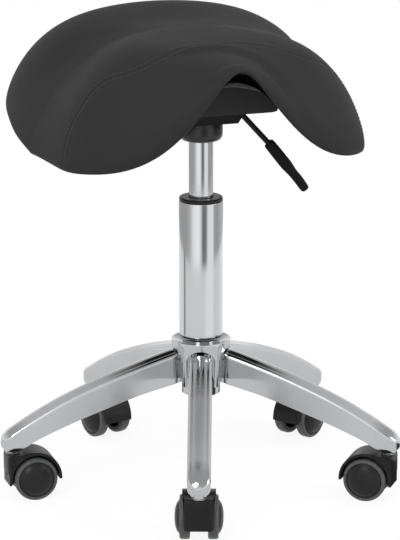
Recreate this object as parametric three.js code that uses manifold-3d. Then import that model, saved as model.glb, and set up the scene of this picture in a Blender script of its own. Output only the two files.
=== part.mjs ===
// Saddle stool on a five-arm castor base, with a gas lift, a height lever and a saddle cushion.
// Millimetres, +Z up, origin on the floor under the column's axis, the saddle's narrow end at -Y.
import * as THREE from 'three';
import { mergeVertices } from 'three/addons/utils/BufferGeometryUtils.js';
import Module from 'manifold-3d';

const wasm = await Module();
wasm.setup();

// Shared fits
const fitGap = 0.3;
const mergeDistance = 0.0001;
const overrun = 1;

// Column tube, swaged to a taper at its foot
const columnRadius = 25.5;
const columnWall = 1.8;
const columnTop = 336.7;
const columnRimChamfer = 0.5;
const columnFoot = 108;
const columnFloor = 3;
const taperFootRadius = 20.4;
const taperHeadRadius = 21.4;
const taperHead = 165;
const shoulderFoot = 170;
const shoulderFootRadius = 21.7;
const shoulderBend = 176;
const shoulderBendRadius = 25;
const shoulderHead = 179;

// Hub: an inner taper sleeve, a funnel and an outer cup with arched slots for the arms
const hubFoot = 107;
const hubSleeveRadius = 22.5;
const hubCupFoot = 119;
const hubLipRadius = 34.4;
const hubLipTop = 172;
const hubLipEdge = 0.8;
const hubWall = 2;
const hubFunnelDrop = 9.1;
const hubCupShares = [[0.9, 0], [0.913, 0.27], [0.937, 0.55], [0.971, 0.81]];
const slotWidth = 33;
const slotTop = 164;
const slotReach = 26.5;

// Arms: pressed channels, open below, that stand on the collars of the castor stems
const hoodTableTop = 54.2;
const collarThickness = 1;
const collarBottom = hoodTableTop + fitGap;
const collarTop = collarBottom + collarThickness;
const armCount = 5;
const baseTurnAngle = -19.6;
const armReach = 241.05;
const armFoot = collarTop + fitGap;
const armRise = 105.7;
const armTop = armFoot + armRise;
const armWidth = 26.5;
const armWall = 2.5;
const armCorner = 5;
const armCrown = 1;
const armTopShares = [
  [0.0747, 0.9939], [0.137, 0.9786], [0.2365, 0.9175], [0.44, 0.7724], [0.64, 0.5997],
  [0.84, 0.3812], [0.945, 0.246], [0.975, 0.2009], [0.991, 0.1612], [1, 0.1212],
];
const armEdgeShares = [
  [0.0747, 0.6547], [0.137, 0.6333], [0.2365, 0.5852], [0.44, 0.4554], [0.64, 0.3057],
  [0.84, 0.1272], [0.945, 0], [0.967, 0.0008], [0.983, 0.0206], [0.995, 0.0588], [1, 0.0924],
];

// Castors: the stem stands outboard of the wheels by the trail
const stemReach = armReach - armWidth / 2;
const trail = 23.5;
const stemRadius = 5;
const stemFoot = 31;
const stemGrip = 18.2;
const stemTop = armFoot + stemGrip;
const stemChamfer = 1;
const collarRadius = 8.5;
const socketRadius = 8.5;
const socketDepth = 1;
const wheelRadius = 25;
const treadInner = 10;
const treadOuter = 19.7;
const treadBoreRadius = 20.9;
const treadEdge = 1.6;
const discDome = 25.4;
const discSkin = 1.6;
const discHubRadius = 7;
const discRim = 2.2;
const discShoulder = 0.6;
const discDomeShares = [[0.74, 0.62]];
const axleRadius = 3;
const axleHalf = 23.4;
const hoodRadius = 31;
const hoodInnerRadius = 28;
const hoodHalf = 16.4;
const hoodTableStart = 12.5;
const hoodTailAngle = 184;
const hoodCrownAngle = 92;
const hoodChinAngle = -13;
const webFootAngle = 200;
const hoodBulgeShares = [[0.99, 1], [1.03, 0.75], [1.03, 0.4], [0.97, 0.05]];
const hoodRoundFacets = 4;
const webHalf = 4.5;
const webBossRadius = 8.6;
const stemHousingRadius = 8;
const stemHousingFoot = 28;

// Guide bush, washer, clip and bumper
const bushFlangeThickness = 4;
const bushTop = columnTop + fitGap + bushFlangeThickness;
const bushFlangeRadius = 25.2;
const bushFoot = 266;
const bushChamfer = 1;
const washerThickness = 3.7;
const washerRadius = 12;
const clipThickness = 1.5;
const clipRadius = 8;
const clipGrooveDepth = 0.8;
const clipMouth = 5;
const bumperRadius = 13;
const bumperHeight = 4.2;
const bumperEdge = 0.8;

// Boot, plate's well and taper socket, stacked above the guide bush
const liftClearance = 64;
const bootRadius = 25;
const bootFoot = bushTop + liftClearance;
const bootHeight = 26;
const bootEdge = 6;
const bootFloor = 3.7;
const plateWell = bootFoot + bootHeight;
const socketFoot = bootFoot + bootFloor + fitGap;
const socketOuterRadius = 18;
const socketNeckRadius = 15.9;
const socketNeckRise = 5;
const socketNeckTop = plateWell + socketNeckRise;

// Gas spring
const rodRadius = 5;
const rodFoot = 103;
const spigotRadius = 4;
const pistonFoot = 264.5;
const pistonHeight = 11;
const rodTop = 282;
const cylinderRadius = 14;
const cylinderFoot = 182;
const cylinderRise = 17;
const cylinderTop = plateWell + cylinderRise;
const cylinderEdge = 1;
const cylinderWall = 1.5;
const glandHeight = 12;
const headHeight = 30;
const headTaperFoot = bootFoot;
const headTaperRadius = 13.4;
const buttonRadius = 4;
const buttonRise = 5;
const buttonTop = cylinderTop + buttonRise;
const buttonLength = 28;
const buttonFoot = buttonTop - buttonLength;
const buttonCone = 1.8;
const buttonTip = 1.5;

// Seat plate: a pressed hat section, and its bolts
const plateThickness = 2.5;
const plateWellHalf = 33;
const plateShoulderHalf = 42.5;
const plateHalf = 80;
const plateRise = 13.5;
const plateWallRun = 1.3;
const plateFront = -34;
const plateRear = 126;
const plateFlange = plateWell + plateRise;
const plateTop = plateFlange + plateThickness;
const boltReach = 62;
const boltFront = -14;
const boltRear = 106;
const boltRadius = 3;
const boltHeadRadius = 6.5;
const boltHeadHeight = 4.7;
const boltHeadEdge = 1.5;
const boltRise = 15;
const boltTop = plateTop + boltRise;
const bossRadius = 8;
const bossDrop = 60;

// Height lever
const pivotReach = 20;
const leverRadius = 3.25;
const pivotHeight = buttonTop + fitGap + leverRadius;
const pivotPinRadius = 2.5;
const pivotPinHalf = 13;
const earHalf = 6;
const earThickness = 2.5;
const earInner = 9;
const earSink = 1;
const leverSlotInner = 27;
const leverSlotOuter = 51;
const leverSlotHalf = 6;
const leverSpan = 120;
const leverDropShares = [
  [-0.075, 0], [0.2, 0], [0.235, -0.012], [0.28, -0.045], [0.33, -0.099], [0.418, -0.196],
  [0.55, -0.341], [0.68, -0.484], [0.79, -0.605],
];
const gripShares = [
  [0.684, -0.49, 0.085, 0.07], [0.692, -0.498, 0.104, 0.085], [0.72, -0.531, 0.108, 0.087],
  [0.8, -0.631, 0.112, 0.085], [0.86, -0.706, 0.112, 0.082], [0.905, -0.762, 0.1, 0.078],
  [0.94, -0.806, 0.09, 0.075], [0.994, -0.871, 0.09, 0.072], [1.045, -0.942, 0.088, 0.07],
  [1.066, -0.971, 0.078, 0.062], [1.072, -0.98, 0.06, 0.05],
];
const gripSquareness = 0.7;
const gripSides = 14;
const gripBoreLength = 28;

// Saddle cushion and shell
const saddleCentre = 49;
const saddleHalfLength = 188;
const saddleHalfWidth = 234;
const saddleSquareness = 2;
const frontTaperShare = 0.03;
const waistShare = -0.214;
const rearFullShare = 0.105;
const valleyRise = 61.5;
const valleyHeight = plateTop + valleyRise;
const valleyPlace = 69;
const crownReach = 150;
const frontRise = -8.2;
const rearRise = 54.8;
const sideReach = 100;
const sideFall = 0;
const archRise = 65.4;
const archHeight = plateTop + archRise;
const wingDrop = 52.5;
const wingHeight = plateTop - wingDrop;
const rearRimDrop = 5;
const rearRimHeight = plateTop - rearRimDrop;
const archSpreadAngle = 0.243;
const archPower = 1.247;
const archRoundingAngle = 0.052;
const archThinShare = 0.85;
const archThinAngle = 0.45;
const rearPower = 0.9;
const frontFullness = 8.6;
const sideFullness = 2.87;
const rearFullness = 4.2;
const frontCrowding = 0.6;
const cushionThickness = 46;
const topEdgePower = 5;
const undersideEdgePower = 12;
const cushionAround = 44;
const cushionTopRings = 10;
const cushionUndersideRings = 8;
const shellThickness = 7;
const shellRings = 5;
const skirtInset = 2;
const skirtWall = 3;
const skirtCorner = 12;
const parameterStep = 0.001;
const poleShare = 0.02;

// Facets round the turned pieces
const fineFacets = 30;
const tubeFacets = 22;
const wheelFacets = 18;
const smallFacets = 12;
const boltFacets = 8;

const radians = THREE.MathUtils.degToRad;

function toSolid(geometry) {
  const plain = geometry.clone();
  plain.deleteAttribute('normal');
  plain.deleteAttribute('uv');
  const merged = mergeVertices(plain, mergeDistance);
  const points = Float32Array.from(merged.attributes.position.array);
  const corners = [];
  const source = merged.index.array;
  let volume = 0;
  for (let i = 0; i < source.length; i += 3) {
    const [a, b, c] = [source[i], source[i + 1], source[i + 2]];
    if (a !== b && b !== c && c !== a) {
      corners.push(a, b, c);
      const va = new THREE.Vector3().fromArray(points, a * 3);
      const vb = new THREE.Vector3().fromArray(points, b * 3);
      const vc = new THREE.Vector3().fromArray(points, c * 3);
      volume += va.dot(vb.cross(vc));
    }
  }
  if (volume < 0) {
    corners.reverse();
  }
  const triVerts = Uint32Array.from(corners);
  return new wasm.Manifold(new wasm.Mesh({ numProp: 3, vertProperties: points, triVerts }));
}

function toGeometry(solid) {
  const mesh = solid.getMesh();
  const geometry = new THREE.BufferGeometry();
  const points = Float32Array.from(mesh.vertProperties);
  geometry.setAttribute('position', new THREE.BufferAttribute(points, 3));
  geometry.setIndex(new THREE.BufferAttribute(Uint32Array.from(mesh.triVerts), 1));
  geometry.computeVertexNormals();
  return geometry;
}

function join(...pieces) {
  return toGeometry(pieces.map(toSolid).reduce((whole, piece) => whole.add(piece)));
}

function cut(body, ...tools) {
  return toGeometry(tools.map(toSolid).reduce((whole, tool) => whole.subtract(tool), toSolid(body)));
}

function common(a, b) {
  return toGeometry(toSolid(a).intersect(toSolid(b)));
}

// A profile of [radius, height] turned about Z
function revolve(profile, facets) {
  const closed = profile[0][0] === 0 ? profile : [...profile, profile[0]];
  const points = closed.map(([radius, height]) => new THREE.Vector2(radius, height));
  return new THREE.LatheGeometry(points, facets).rotateX(Math.PI / 2);
}

function rod(radius, foot, top, facets) {
  const length = top - foot;
  const geometry = new THREE.CylinderGeometry(radius, radius, length, facets);
  return geometry.rotateX(Math.PI / 2).translate(0, 0, foot + length / 2);
}

function block(x0, x1, y0, y1, z0, z1) {
  const geometry = new THREE.BoxGeometry(x1 - x0, y1 - y0, z1 - z0);
  return geometry.translate((x0 + x1) / 2, (y0 + y1) / 2, (z0 + z1) / 2);
}

// An outline of [x, z] points given a thickness along Y, centred on the plane y = 0
function slab(outline, half) {
  const shape = new THREE.Shape(outline.map(([x, z]) => new THREE.Vector2(x, z)));
  const geometry = new THREE.ExtrudeGeometry(shape, { depth: 2 * half, bevelEnabled: false });
  return geometry.translate(0, 0, -half).rotateX(Math.PI / 2);
}

function arc(centreX, centreZ, radius, from, to, steps) {
  return Array.from({ length: steps + 1 }, (_, i) => {
    const angle = radians(from + (to - from) * i / steps);
    return [centreX + radius * Math.cos(angle), centreZ + radius * Math.sin(angle)];
  });
}

// A skin through rings of equal count, closed by a fan at each end
function loft(rings, firstCentre, lastCentre) {
  const count = rings[0].length;
  const points = [firstCentre, ...rings.flat(), lastCentre];
  const last = points.length - 1;
  const index = [];
  for (let k = 0; k < count; k += 1) {
    const next = (k + 1) % count;
    index.push(0, 1 + next, 1 + k);
    const foot = 1 + (rings.length - 1) * count;
    index.push(last, foot + k, foot + next);
    for (let r = 0; r + 1 < rings.length; r += 1) {
      const a = 1 + r * count;
      const b = a + count;
      index.push(a + k, a + next, b + next, a + k, b + next, b + k);
    }
  }
  const geometry = new THREE.BufferGeometry();
  const values = points.flatMap((p) => p.toArray());
  geometry.setAttribute('position', new THREE.Float32BufferAttribute(values, 3));
  geometry.setIndex(index);
  return geometry;
}

function middleOf(ring) {
  return ring.reduce((sum, p) => sum.add(p), new THREE.Vector3()).divideScalar(ring.length);
}

function tableAt(shares, share) {
  const k = Math.max(1, shares.findIndex(([place]) => place >= share));
  const [x0, y0] = shares[k - 1];
  const [x1, y1] = shares[k];
  return y0 + (y1 - y0) * (share - x0) / (x1 - x0);
}

function columnTube() {
  const inner = columnRadius - columnWall;
  return revolve([
    [taperFootRadius, columnFoot], [taperHeadRadius, taperHead], [shoulderFootRadius, shoulderFoot],
    [shoulderBendRadius, shoulderBend], [columnRadius, shoulderHead],
    [columnRadius, columnTop - columnRimChamfer], [columnRadius - columnRimChamfer, columnTop],
    [inner, columnTop], [inner, shoulderHead], [taperHeadRadius - columnWall, shoulderFoot],
    [taperFootRadius - columnWall, columnFoot + columnFloor],
    [spigotRadius + fitGap, columnFoot + columnFloor], [spigotRadius + fitGap, columnFoot],
  ], tubeFacets);
}

// The hub: one turned skin, then an arched slot for each arm through the outer cup only
function hub() {
  const cupHeight = hubLipTop - hubCupFoot;
  const cup = hubCupShares.map(([r, z]) => [r * hubLipRadius, hubCupFoot + z * cupHeight]);
  const inside = cup.map(([r, z]) => [r - hubWall, z]).reverse();
  const funnelRadius = hubLipRadius - hubWall;
  const skin = revolve([
    [taperFootRadius + fitGap, hubFoot], [taperHeadRadius + fitGap, taperHead],
    [hubLipRadius - hubLipEdge, hubLipTop], [hubLipRadius, hubLipTop - hubLipEdge],
    ...cup.slice().reverse(), ...inside.slice().reverse(),
    [funnelRadius - hubLipEdge, hubLipTop - hubLipEdge - hubWall],
    [hubSleeveRadius, hubLipTop - hubFunnelDrop], [hubSleeveRadius, hubFoot],
  ], fineFacets);
  const half = slotWidth / 2;
  const arch = arc(0, slotTop - half, half, 0, 180, 8);
  const slots = Array.from({ length: armCount }, (_, i) => {
    const outline = [[-half, hubFoot], [half, hubFoot], ...arch];
    const tool = slab(outline, hubLipRadius).rotateZ(Math.PI / 2).translate(hubLipRadius, 0, 0);
    return tool.rotateZ(armAngle(i));
  });
  const core = rod(slotReach, hubFoot - overrun, hubLipTop, fineFacets);
  return cut(skin, ...slots.map((slot) => cut(slot, core)));
}

function armAngle(i) {
  return radians(baseTurnAngle + 360 * i / armCount - 90);
}

// One cross-section of an arm: flat edges below, rounded corners and a slight crown above
function armRing(x, inset, drop, cornerSteps) {
  const beyond = Math.max(0, x - stemReach);
  const full = armWidth / 2 - inset;
  const half = Math.sqrt(Math.max(0, full * full - beyond * beyond));
  const top = armFoot + armRise * tableAt(armTopShares, x / armReach) - inset;
  const edge = armFoot + armRise * tableAt(armEdgeShares, x / armReach) - drop;
  const corner = Math.min(armCorner - inset, half * (armCorner - inset) / full);
  const left = arc(-half + corner, top - corner, corner, 180, 90, cornerSteps);
  const right = arc(half - corner, top - corner, corner, 90, 0, cornerSteps);
  const crown = top + armCrown * half / full;
  const outline = [[-half, edge], ...left, [0, crown], ...right, [half, edge]];
  return outline.map(([y, z]) => new THREE.Vector3(x, y, z));
}

function armSolid(places, inset, drop, cornerSteps) {
  const rings = places.map((x) => armRing(x, inset, drop, cornerSteps));
  return loft(rings, middleOf(rings[0]), middleOf(rings[rings.length - 1]));
}

function arm() {
  const places = armTopShares.map(([share]) => share * armReach);
  const outer = places.map((x) => Math.min(x, armReach - fitGap));
  const innerTip = armReach - armWall;
  const hollow = places.filter((x) => x < innerTip - armWall);
  hollow.push(innerTip - fitGap);
  const body = armSolid(outer, 0, 0, 2);
  const inside = armSolid(hollow, armWall, armTop, 1);
  const filled = armSolid(outer, 0, armWall, 1);
  const boss = rod(socketRadius, armFoot, armTop, smallFacets).translate(stemReach, 0, 0);
  const boreTop = stemTop + socketDepth;
  const bore = rod(stemRadius + fitGap, armFoot - overrun, boreTop, smallFacets);
  const sleeve = rod(hubSleeveRadius + fitGap, hubFoot, armTop + hubSleeveRadius, fineFacets);
  const walls = cut(body, inside, sleeve);
  return cut(join(walls, common(boss, filled)), bore.translate(stemReach, 0, 0));
}

function casterStem() {
  return revolve([
    [0, stemFoot], [stemRadius - stemChamfer, stemFoot], [stemRadius, stemFoot + stemChamfer],
    [stemRadius, collarBottom], [collarRadius, collarBottom], [collarRadius, collarTop],
    [stemRadius, collarTop], [stemRadius, stemTop - stemChamfer],
    [stemRadius - stemChamfer, stemTop], [0, stemTop],
  ], smallFacets);
}

// The hood: a cover round the wheels' crown, a web between the wheels and the stem's housing
function casterHood() {
  const rise = hoodTableTop - wheelRadius;
  const back = arc(0, wheelRadius, hoodRadius, hoodTailAngle, hoodCrownAngle, 4);
  const bulge = hoodBulgeShares.map(([x, z]) => [x * hoodRadius, wheelRadius + z * rise]);
  const [chin] = arc(0, wheelRadius, hoodRadius, hoodChinAngle, hoodTailAngle, 1);
  const inner = arc(0, wheelRadius, hoodInnerRadius, hoodChinAngle, hoodTailAngle, 8);
  const side = slab([...back, [hoodTableStart, hoodTableTop], ...bulge, chin, ...inner], hoodHalf);
  const front = hoodRadius * hoodBulgeShares[1][0] - hoodHalf;
  const plan = new THREE.Shape().absarc(front, 0, hoodHalf, -Math.PI / 2, Math.PI / 2);
  plan.lineTo(-2 * hoodRadius, hoodHalf).lineTo(-2 * hoodRadius, -hoodHalf);
  const settings = { depth: 2 * hoodTableTop, bevelEnabled: false, curveSegments: hoodRoundFacets };
  const cover = common(side, new THREE.ExtrudeGeometry(plan, settings));
  const middle = (hoodRadius + hoodInnerRadius) / 2;
  const web = arc(0, wheelRadius, middle, hoodChinAngle, hoodTailAngle, 7);
  web.push(...arc(0, wheelRadius, webBossRadius, webFootAngle, 270, 3));
  web.push([webBossRadius / 2, wheelRadius - webBossRadius]);
  const housing = rod(stemHousingRadius, stemHousingFoot, hoodTableTop, smallFacets);
  const held = common(housing.translate(trail, 0, 0), slab(web, stemHousingRadius));
  const bore = rod(stemRadius + fitGap, stemFoot - fitGap, hoodTableTop + overrun, smallFacets);
  const axleBore = rod(axleRadius + fitGap, -hoodHalf, hoodHalf, smallFacets);
  axleBore.rotateX(Math.PI / 2).translate(0, 0, wheelRadius);
  return cut(join(cover, slab(web, webHalf), held), bore.translate(trail, 0, 0), axleBore);
}

function casterAxle() {
  const pin = rod(axleRadius, -axleHalf, axleHalf, smallFacets);
  return pin.rotateX(Math.PI / 2).translate(0, 0, wheelRadius);
}

// Wheel pieces are turned about Z and laid over so that their outer face looks along +Y
function layWheel(geometry, side) {
  geometry.rotateX(-Math.PI / 2);
  if (side < 0) {
    geometry.rotateZ(Math.PI);
  }
  return geometry.translate(0, 0, wheelRadius);
}

function wheelDisc(side) {
  const rim = treadBoreRadius - fitGap;
  const inner = treadInner + fitGap;
  const shoulder = treadOuter - discShoulder;
  const dome = discDomeShares.map(([r, h]) => [r * rim, shoulder + h * (discDome - shoulder)]);
  const boreEnd = axleHalf + fitGap;
  return layWheel(revolve([
    [0, boreEnd], [axleRadius + fitGap, boreEnd], [axleRadius + fitGap, inner],
    [discHubRadius, inner], [rim - discRim, shoulder - discSkin],
    [rim - discRim, inner], [rim, inner], [rim, shoulder], ...dome, [0, discDome],
  ], wheelFacets), side);
}

function wheelTread(side) {
  return layWheel(revolve([
    [treadBoreRadius, treadInner], [wheelRadius - treadEdge, treadInner],
    [wheelRadius, treadInner + treadEdge], [wheelRadius, treadOuter - treadEdge],
    [wheelRadius - treadEdge, treadOuter], [treadBoreRadius, treadOuter],
  ], wheelFacets), side);
}

function guideBush() {
  const outer = columnRadius - columnWall - fitGap;
  const bore = cylinderRadius + fitGap;
  const flangeFoot = columnTop + fitGap;
  return revolve([
    [bore + bushChamfer, bushTop], [bushFlangeRadius - bushChamfer, bushTop],
    [bushFlangeRadius, bushTop - bushChamfer], [bushFlangeRadius, flangeFoot],
    [outer, flangeFoot], [outer, bushFoot], [bore, bushFoot], [bore, bushTop - bushChamfer],
  ], tubeFacets);
}

const washerFoot = columnFoot + columnFloor + fitGap;
const washerTop = washerFoot + washerThickness;
const rodShoulder = washerTop + fitGap;

function thrustWasher() {
  const bore = spigotRadius + fitGap;
  return revolve([
    [bore, washerFoot], [washerRadius, washerFoot], [washerRadius, washerTop], [bore, washerTop],
  ], wheelFacets);
}

function bumper() {
  const top = rodShoulder + bumperHeight;
  const bore = rodRadius + fitGap;
  return revolve([
    [bore, rodShoulder], [bumperRadius, rodShoulder], [bumperRadius, top - bumperEdge],
    [bumperRadius - bumperEdge, top], [bore, top],
  ], wheelFacets);
}

const clipTop = columnFoot - fitGap;
const clipFoot = clipTop - clipThickness;

function retainingClip() {
  const bore = spigotRadius - clipGrooveDepth + fitGap;
  const ring = revolve([
    [bore, clipFoot], [clipRadius, clipFoot], [clipRadius, clipTop], [bore, clipTop],
  ], smallFacets);
  const half = clipMouth / 2;
  return cut(ring, block(0, clipRadius + overrun, -half, half, clipFoot - overrun, clipTop + overrun));
}

function pistonRod() {
  const neck = spigotRadius - clipGrooveDepth;
  const pistonRadius = cylinderRadius - cylinderWall - fitGap;
  return revolve([
    [0, rodFoot], [spigotRadius, rodFoot], [spigotRadius, clipFoot - fitGap],
    [neck, clipFoot - fitGap], [neck, clipTop + fitGap], [spigotRadius, clipTop + fitGap],
    [spigotRadius, rodShoulder], [rodRadius, rodShoulder], [rodRadius, pistonFoot],
    [pistonRadius, pistonFoot], [pistonRadius, pistonFoot + pistonHeight],
    [rodRadius, pistonFoot + pistonHeight], [rodRadius, rodTop], [0, rodTop],
  ], wheelFacets);
}

function headRadiusAt(height) {
  const share = (height - headTaperFoot) / (cylinderTop - headTaperFoot);
  return cylinderRadius + (headTaperRadius - cylinderRadius) * share;
}

function gasCylinder() {
  const inside = cylinderRadius - cylinderWall;
  const gland = rodRadius + fitGap;
  const pinBore = buttonRadius + fitGap;
  const cavityFoot = cylinderFoot + glandHeight;
  const cavityTop = cylinderTop - headHeight;
  return revolve([
    [gland, cylinderFoot], [cylinderRadius - cylinderEdge, cylinderFoot],
    [cylinderRadius, cylinderFoot + cylinderEdge], [cylinderRadius, headTaperFoot],
    [headRadiusAt(cylinderTop - cylinderEdge), cylinderTop - cylinderEdge],
    [headTaperRadius - cylinderEdge, cylinderTop], [pinBore, cylinderTop], [pinBore, cavityTop],
    [inside, cavityTop], [inside, cavityFoot], [gland, cavityFoot],
  ], tubeFacets);
}

function releaseButton() {
  return revolve([
    [0, buttonFoot], [buttonRadius, buttonFoot], [buttonRadius, buttonTop - buttonCone],
    [buttonTip, buttonTop], [0, buttonTop],
  ], smallFacets);
}

function taperSocket() {
  const step = plateWell - fitGap;
  return revolve([
    [headRadiusAt(socketFoot) + fitGap, socketFoot], [socketOuterRadius, socketFoot],
    [socketOuterRadius, step], [socketNeckRadius, step], [socketNeckRadius, socketNeckTop],
    [headRadiusAt(socketNeckTop) + fitGap, socketNeckTop],
  ], wheelFacets);
}

function boot() {
  const inside = socketOuterRadius + fitGap;
  const bore = cylinderRadius + fitGap;
  const top = plateWell - fitGap;
  const floor = socketFoot - fitGap;
  const edge = arc(bootRadius - bootEdge, bootFoot + bootEdge, bootEdge, -90, 0, 4);
  return revolve([
    [bore, bootFoot], ...edge, [bootRadius, top], [inside, top], [inside, floor], [bore, floor],
  ], wheelFacets);
}

// The plate: a pressed hat section with two ears for the lever, the neck's hole and the lever's slot
function seatPlate() {
  const well = plateWellHalf;
  const shoulder = plateShoulderHalf;
  const floor = plateWell + plateThickness;
  const under = [
    [-plateHalf, plateFlange], [-shoulder, plateFlange], [-well, plateWell],
    [well, plateWell], [shoulder, plateFlange], [plateHalf, plateFlange],
  ];
  const over = [
    [plateHalf, plateTop], [shoulder - plateWallRun, plateTop], [well - plateWallRun, floor],
    [plateWallRun - well, floor], [plateWallRun - shoulder, plateTop], [-plateHalf, plateTop],
  ];
  const hat = slab([...under, ...over], (plateRear - plateFront) / 2);
  hat.translate(0, (plateFront + plateRear) / 2, 0);
  const foot = floor - earSink;
  const ears = [-1, 1].map((side) => {
    const outline = [[pivotReach - earHalf, foot], [pivotReach + earHalf, foot]];
    outline.push(...arc(pivotReach, pivotHeight, earHalf, 0, 180, 6));
    return slab(outline, earThickness / 2).translate(0, side * (earInner + earThickness / 2), 0);
  });
  const reach = earInner + earThickness + overrun;
  const pinBore = rod(pivotPinRadius + fitGap, -reach, reach, smallFacets);
  pinBore.rotateX(Math.PI / 2).translate(pivotReach, 0, pivotHeight);
  const below = plateWell - overrun;
  const above = plateTop + overrun;
  const neckHole = rod(socketNeckRadius + fitGap, below, above, wheelFacets);
  const slot = block(leverSlotInner, leverSlotOuter, -leverSlotHalf, leverSlotHalf, below, above);
  const hole = rod(boltRadius + fitGap, below, above, boltFacets);
  const holes = boltPlaces.map(([x, y]) => hole.clone().translate(x, y, 0));
  return cut(join(hat, ...ears), pinBore, neckHole, slot, ...holes);
}

const boltPlaces = [
  [-boltReach, boltFront], [boltReach, boltFront], [boltReach, boltRear], [-boltReach, boltRear],
];

function plateBolt() {
  const headTop = plateFlange - fitGap;
  const headFoot = headTop - boltHeadHeight;
  return revolve([
    [0, headFoot], [boltHeadRadius - boltHeadEdge, headFoot],
    [boltHeadRadius, headFoot + boltHeadEdge], [boltHeadRadius, headTop], [boltRadius, headTop],
    [boltRadius, boltTop], [0, boltTop],
  ], boltFacets);
}

function leverPoint([x, drop]) {
  return new THREE.Vector3(x * leverSpan, 0, pivotHeight + drop * leverSpan);
}

function leverRod() {
  const path = new THREE.CatmullRomCurve3(leverDropShares.map(leverPoint), false, 'centripetal');
  const round = new THREE.Shape().absarc(0, 0, leverRadius, 0, Math.PI * 2);
  const bar = new THREE.ExtrudeGeometry(round, { steps: 14, curveSegments: 4, extrudePath: path });
  const pin = rod(pivotPinRadius, -pivotPinHalf, pivotPinHalf, boltFacets);
  return join(bar, pin.rotateX(Math.PI / 2).translate(pivotReach, 0, pivotHeight));
}

// The paddle: rounded sections strung along a curve, with a blind bore for the rod's end
function leverPaddle() {
  const centres = gripShares.map(leverPoint);
  const last = centres.length - 1;
  const soften = (value) => Math.sign(value) * Math.abs(value) ** gripSquareness;
  const rings = gripShares.map(([, , width, thickness], i) => {
    const before = centres[Math.max(0, i - 1)];
    const along = centres[Math.min(last, i + 1)].clone().sub(before).normalize();
    const across = new THREE.Vector3(along.z, 0, -along.x);
    return Array.from({ length: gripSides }, (_, k) => {
      const angle = 2 * Math.PI * k / gripSides;
      const point = centres[i].clone();
      point.addScaledVector(across, width * leverSpan / 2 * soften(Math.cos(angle)));
      point.y += thickness * leverSpan / 2 * soften(Math.sin(angle));
      return point;
    });
  });
  const grip = loft(rings, centres[0], centres[last]);
  const [start, end] = leverDropShares.slice(-2).map(leverPoint);
  const direction = end.clone().sub(start).normalize();
  const boreRadius = leverRadius + fitGap;
  const bore = new THREE.CylinderGeometry(boreRadius, boreRadius, gripBoreLength, boltFacets);
  const turn = new THREE.Quaternion().setFromUnitVectors(new THREE.Vector3(0, 1, 0), direction);
  const middle = end.clone().addScaledVector(direction, fitGap - gripBoreLength / 2);
  return cut(grip, bore.applyQuaternion(turn).translate(middle.x, middle.y, middle.z));
}

// How far an angle round the saddle is from the front, where it is 0
function fromFront(angle) {
  const full = 2 * Math.PI;
  return Math.abs(((angle + Math.PI) % full + full) % full - Math.PI);
}

// The saddle's middle surface at a share of its radius and an angle round it
function saddleMiddle(share, angle) {
  const c = Math.cos(angle);
  const s = Math.sin(angle);
  const power = 2 / saddleSquareness;
  const taper = 1 - frontTaperShare * c - waistShare * (2 * c * c - 1) - rearFullShare * c ** 3;
  const x = share * saddleHalfWidth * Math.sign(s) * Math.abs(s) ** power * taper;
  const y = saddleCentre - share * saddleHalfLength * Math.sign(c) * Math.abs(c) ** power;
  const away = (Math.hypot(fromFront(angle), archRoundingAngle) - archRoundingAngle) / archSpreadAngle;
  const front = Math.max(0, c);
  const rear = Math.max(0, -c);
  const rim = wingHeight + (archHeight - wingHeight) * Math.exp(-(away ** archPower))
    + (rearRimHeight - wingHeight) * rear ** rearPower;
  const fullness = sideFullness + (frontFullness - sideFullness) * front * front
    + (rearFullness - sideFullness) * rear * rear;
  const toFront = Math.max(0, valleyPlace - y) / crownReach;
  const toRear = Math.max(0, y - valleyPlace) / crownReach;
  const crown = valleyHeight + frontRise * toFront ** 2 + rearRise * toRear ** 2
    - sideFall * (x / sideReach) ** 2;
  return new THREE.Vector3(x, y, rim + (crown - rim) * (1 - share ** fullness));
}

function saddleNormal(share, angle) {
  const place = Math.max(share, poleShare);
  const step = parameterStep;
  const out = saddleMiddle(place + step, angle).sub(saddleMiddle(place - step, angle));
  const round = saddleMiddle(place, angle + step).sub(saddleMiddle(place, angle - step));
  const normal = out.cross(round).normalize();
  return normal.z < 0 ? normal.negate() : normal;
}

const saddleAngles = Array.from({ length: cushionAround }, (_, k) => {
  const phase = 2 * Math.PI * k / cushionAround;
  return phase - frontCrowding * Math.sin(phase);
});

function ringShare(ring, rings) {
  return Math.sin(Math.PI / 2 * ring / rings);
}

// One ring of a skin that lies off the middle surface, along its normal
function saddleRing(share, distanceAt) {
  return saddleAngles.map((angle) => saddleMiddle(share, angle)
    .addScaledVector(saddleNormal(share, angle), distanceAt(share, angle)));
}

function saddlePole(distance) {
  const nearest = ringShare(1, cushionTopRings);
  const normal = middleOf(saddleAngles.map((angle) => saddleNormal(nearest, angle)));
  return saddleMiddle(0, 0).addScaledVector(normal.normalize(), distance);
}

function topLift(share) {
  return cushionThickness / 2 * Math.sqrt(1 - share ** topEdgePower);
}

// The foam thins towards the arched front
function undersideDrop(share, angle) {
  const thinning = archThinShare * share * Math.exp(-((fromFront(angle) / archThinAngle) ** 2));
  return cushionThickness / 2 * (1 - thinning) * Math.sqrt(1 - share ** undersideEdgePower);
}

function cushion() {
  const rings = [];
  for (let k = 1; k <= cushionTopRings; k += 1) {
    rings.push(saddleRing(ringShare(k, cushionTopRings), topLift));
  }
  for (let k = cushionUndersideRings - 1; k >= 1; k -= 1) {
    const share = ringShare(k, cushionUndersideRings);
    rings.push(saddleRing(share, (place, angle) => -undersideDrop(place, angle)));
  }
  return loft(rings, saddlePole(topLift(0)), saddlePole(-undersideDrop(0, 0)));
}

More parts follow.
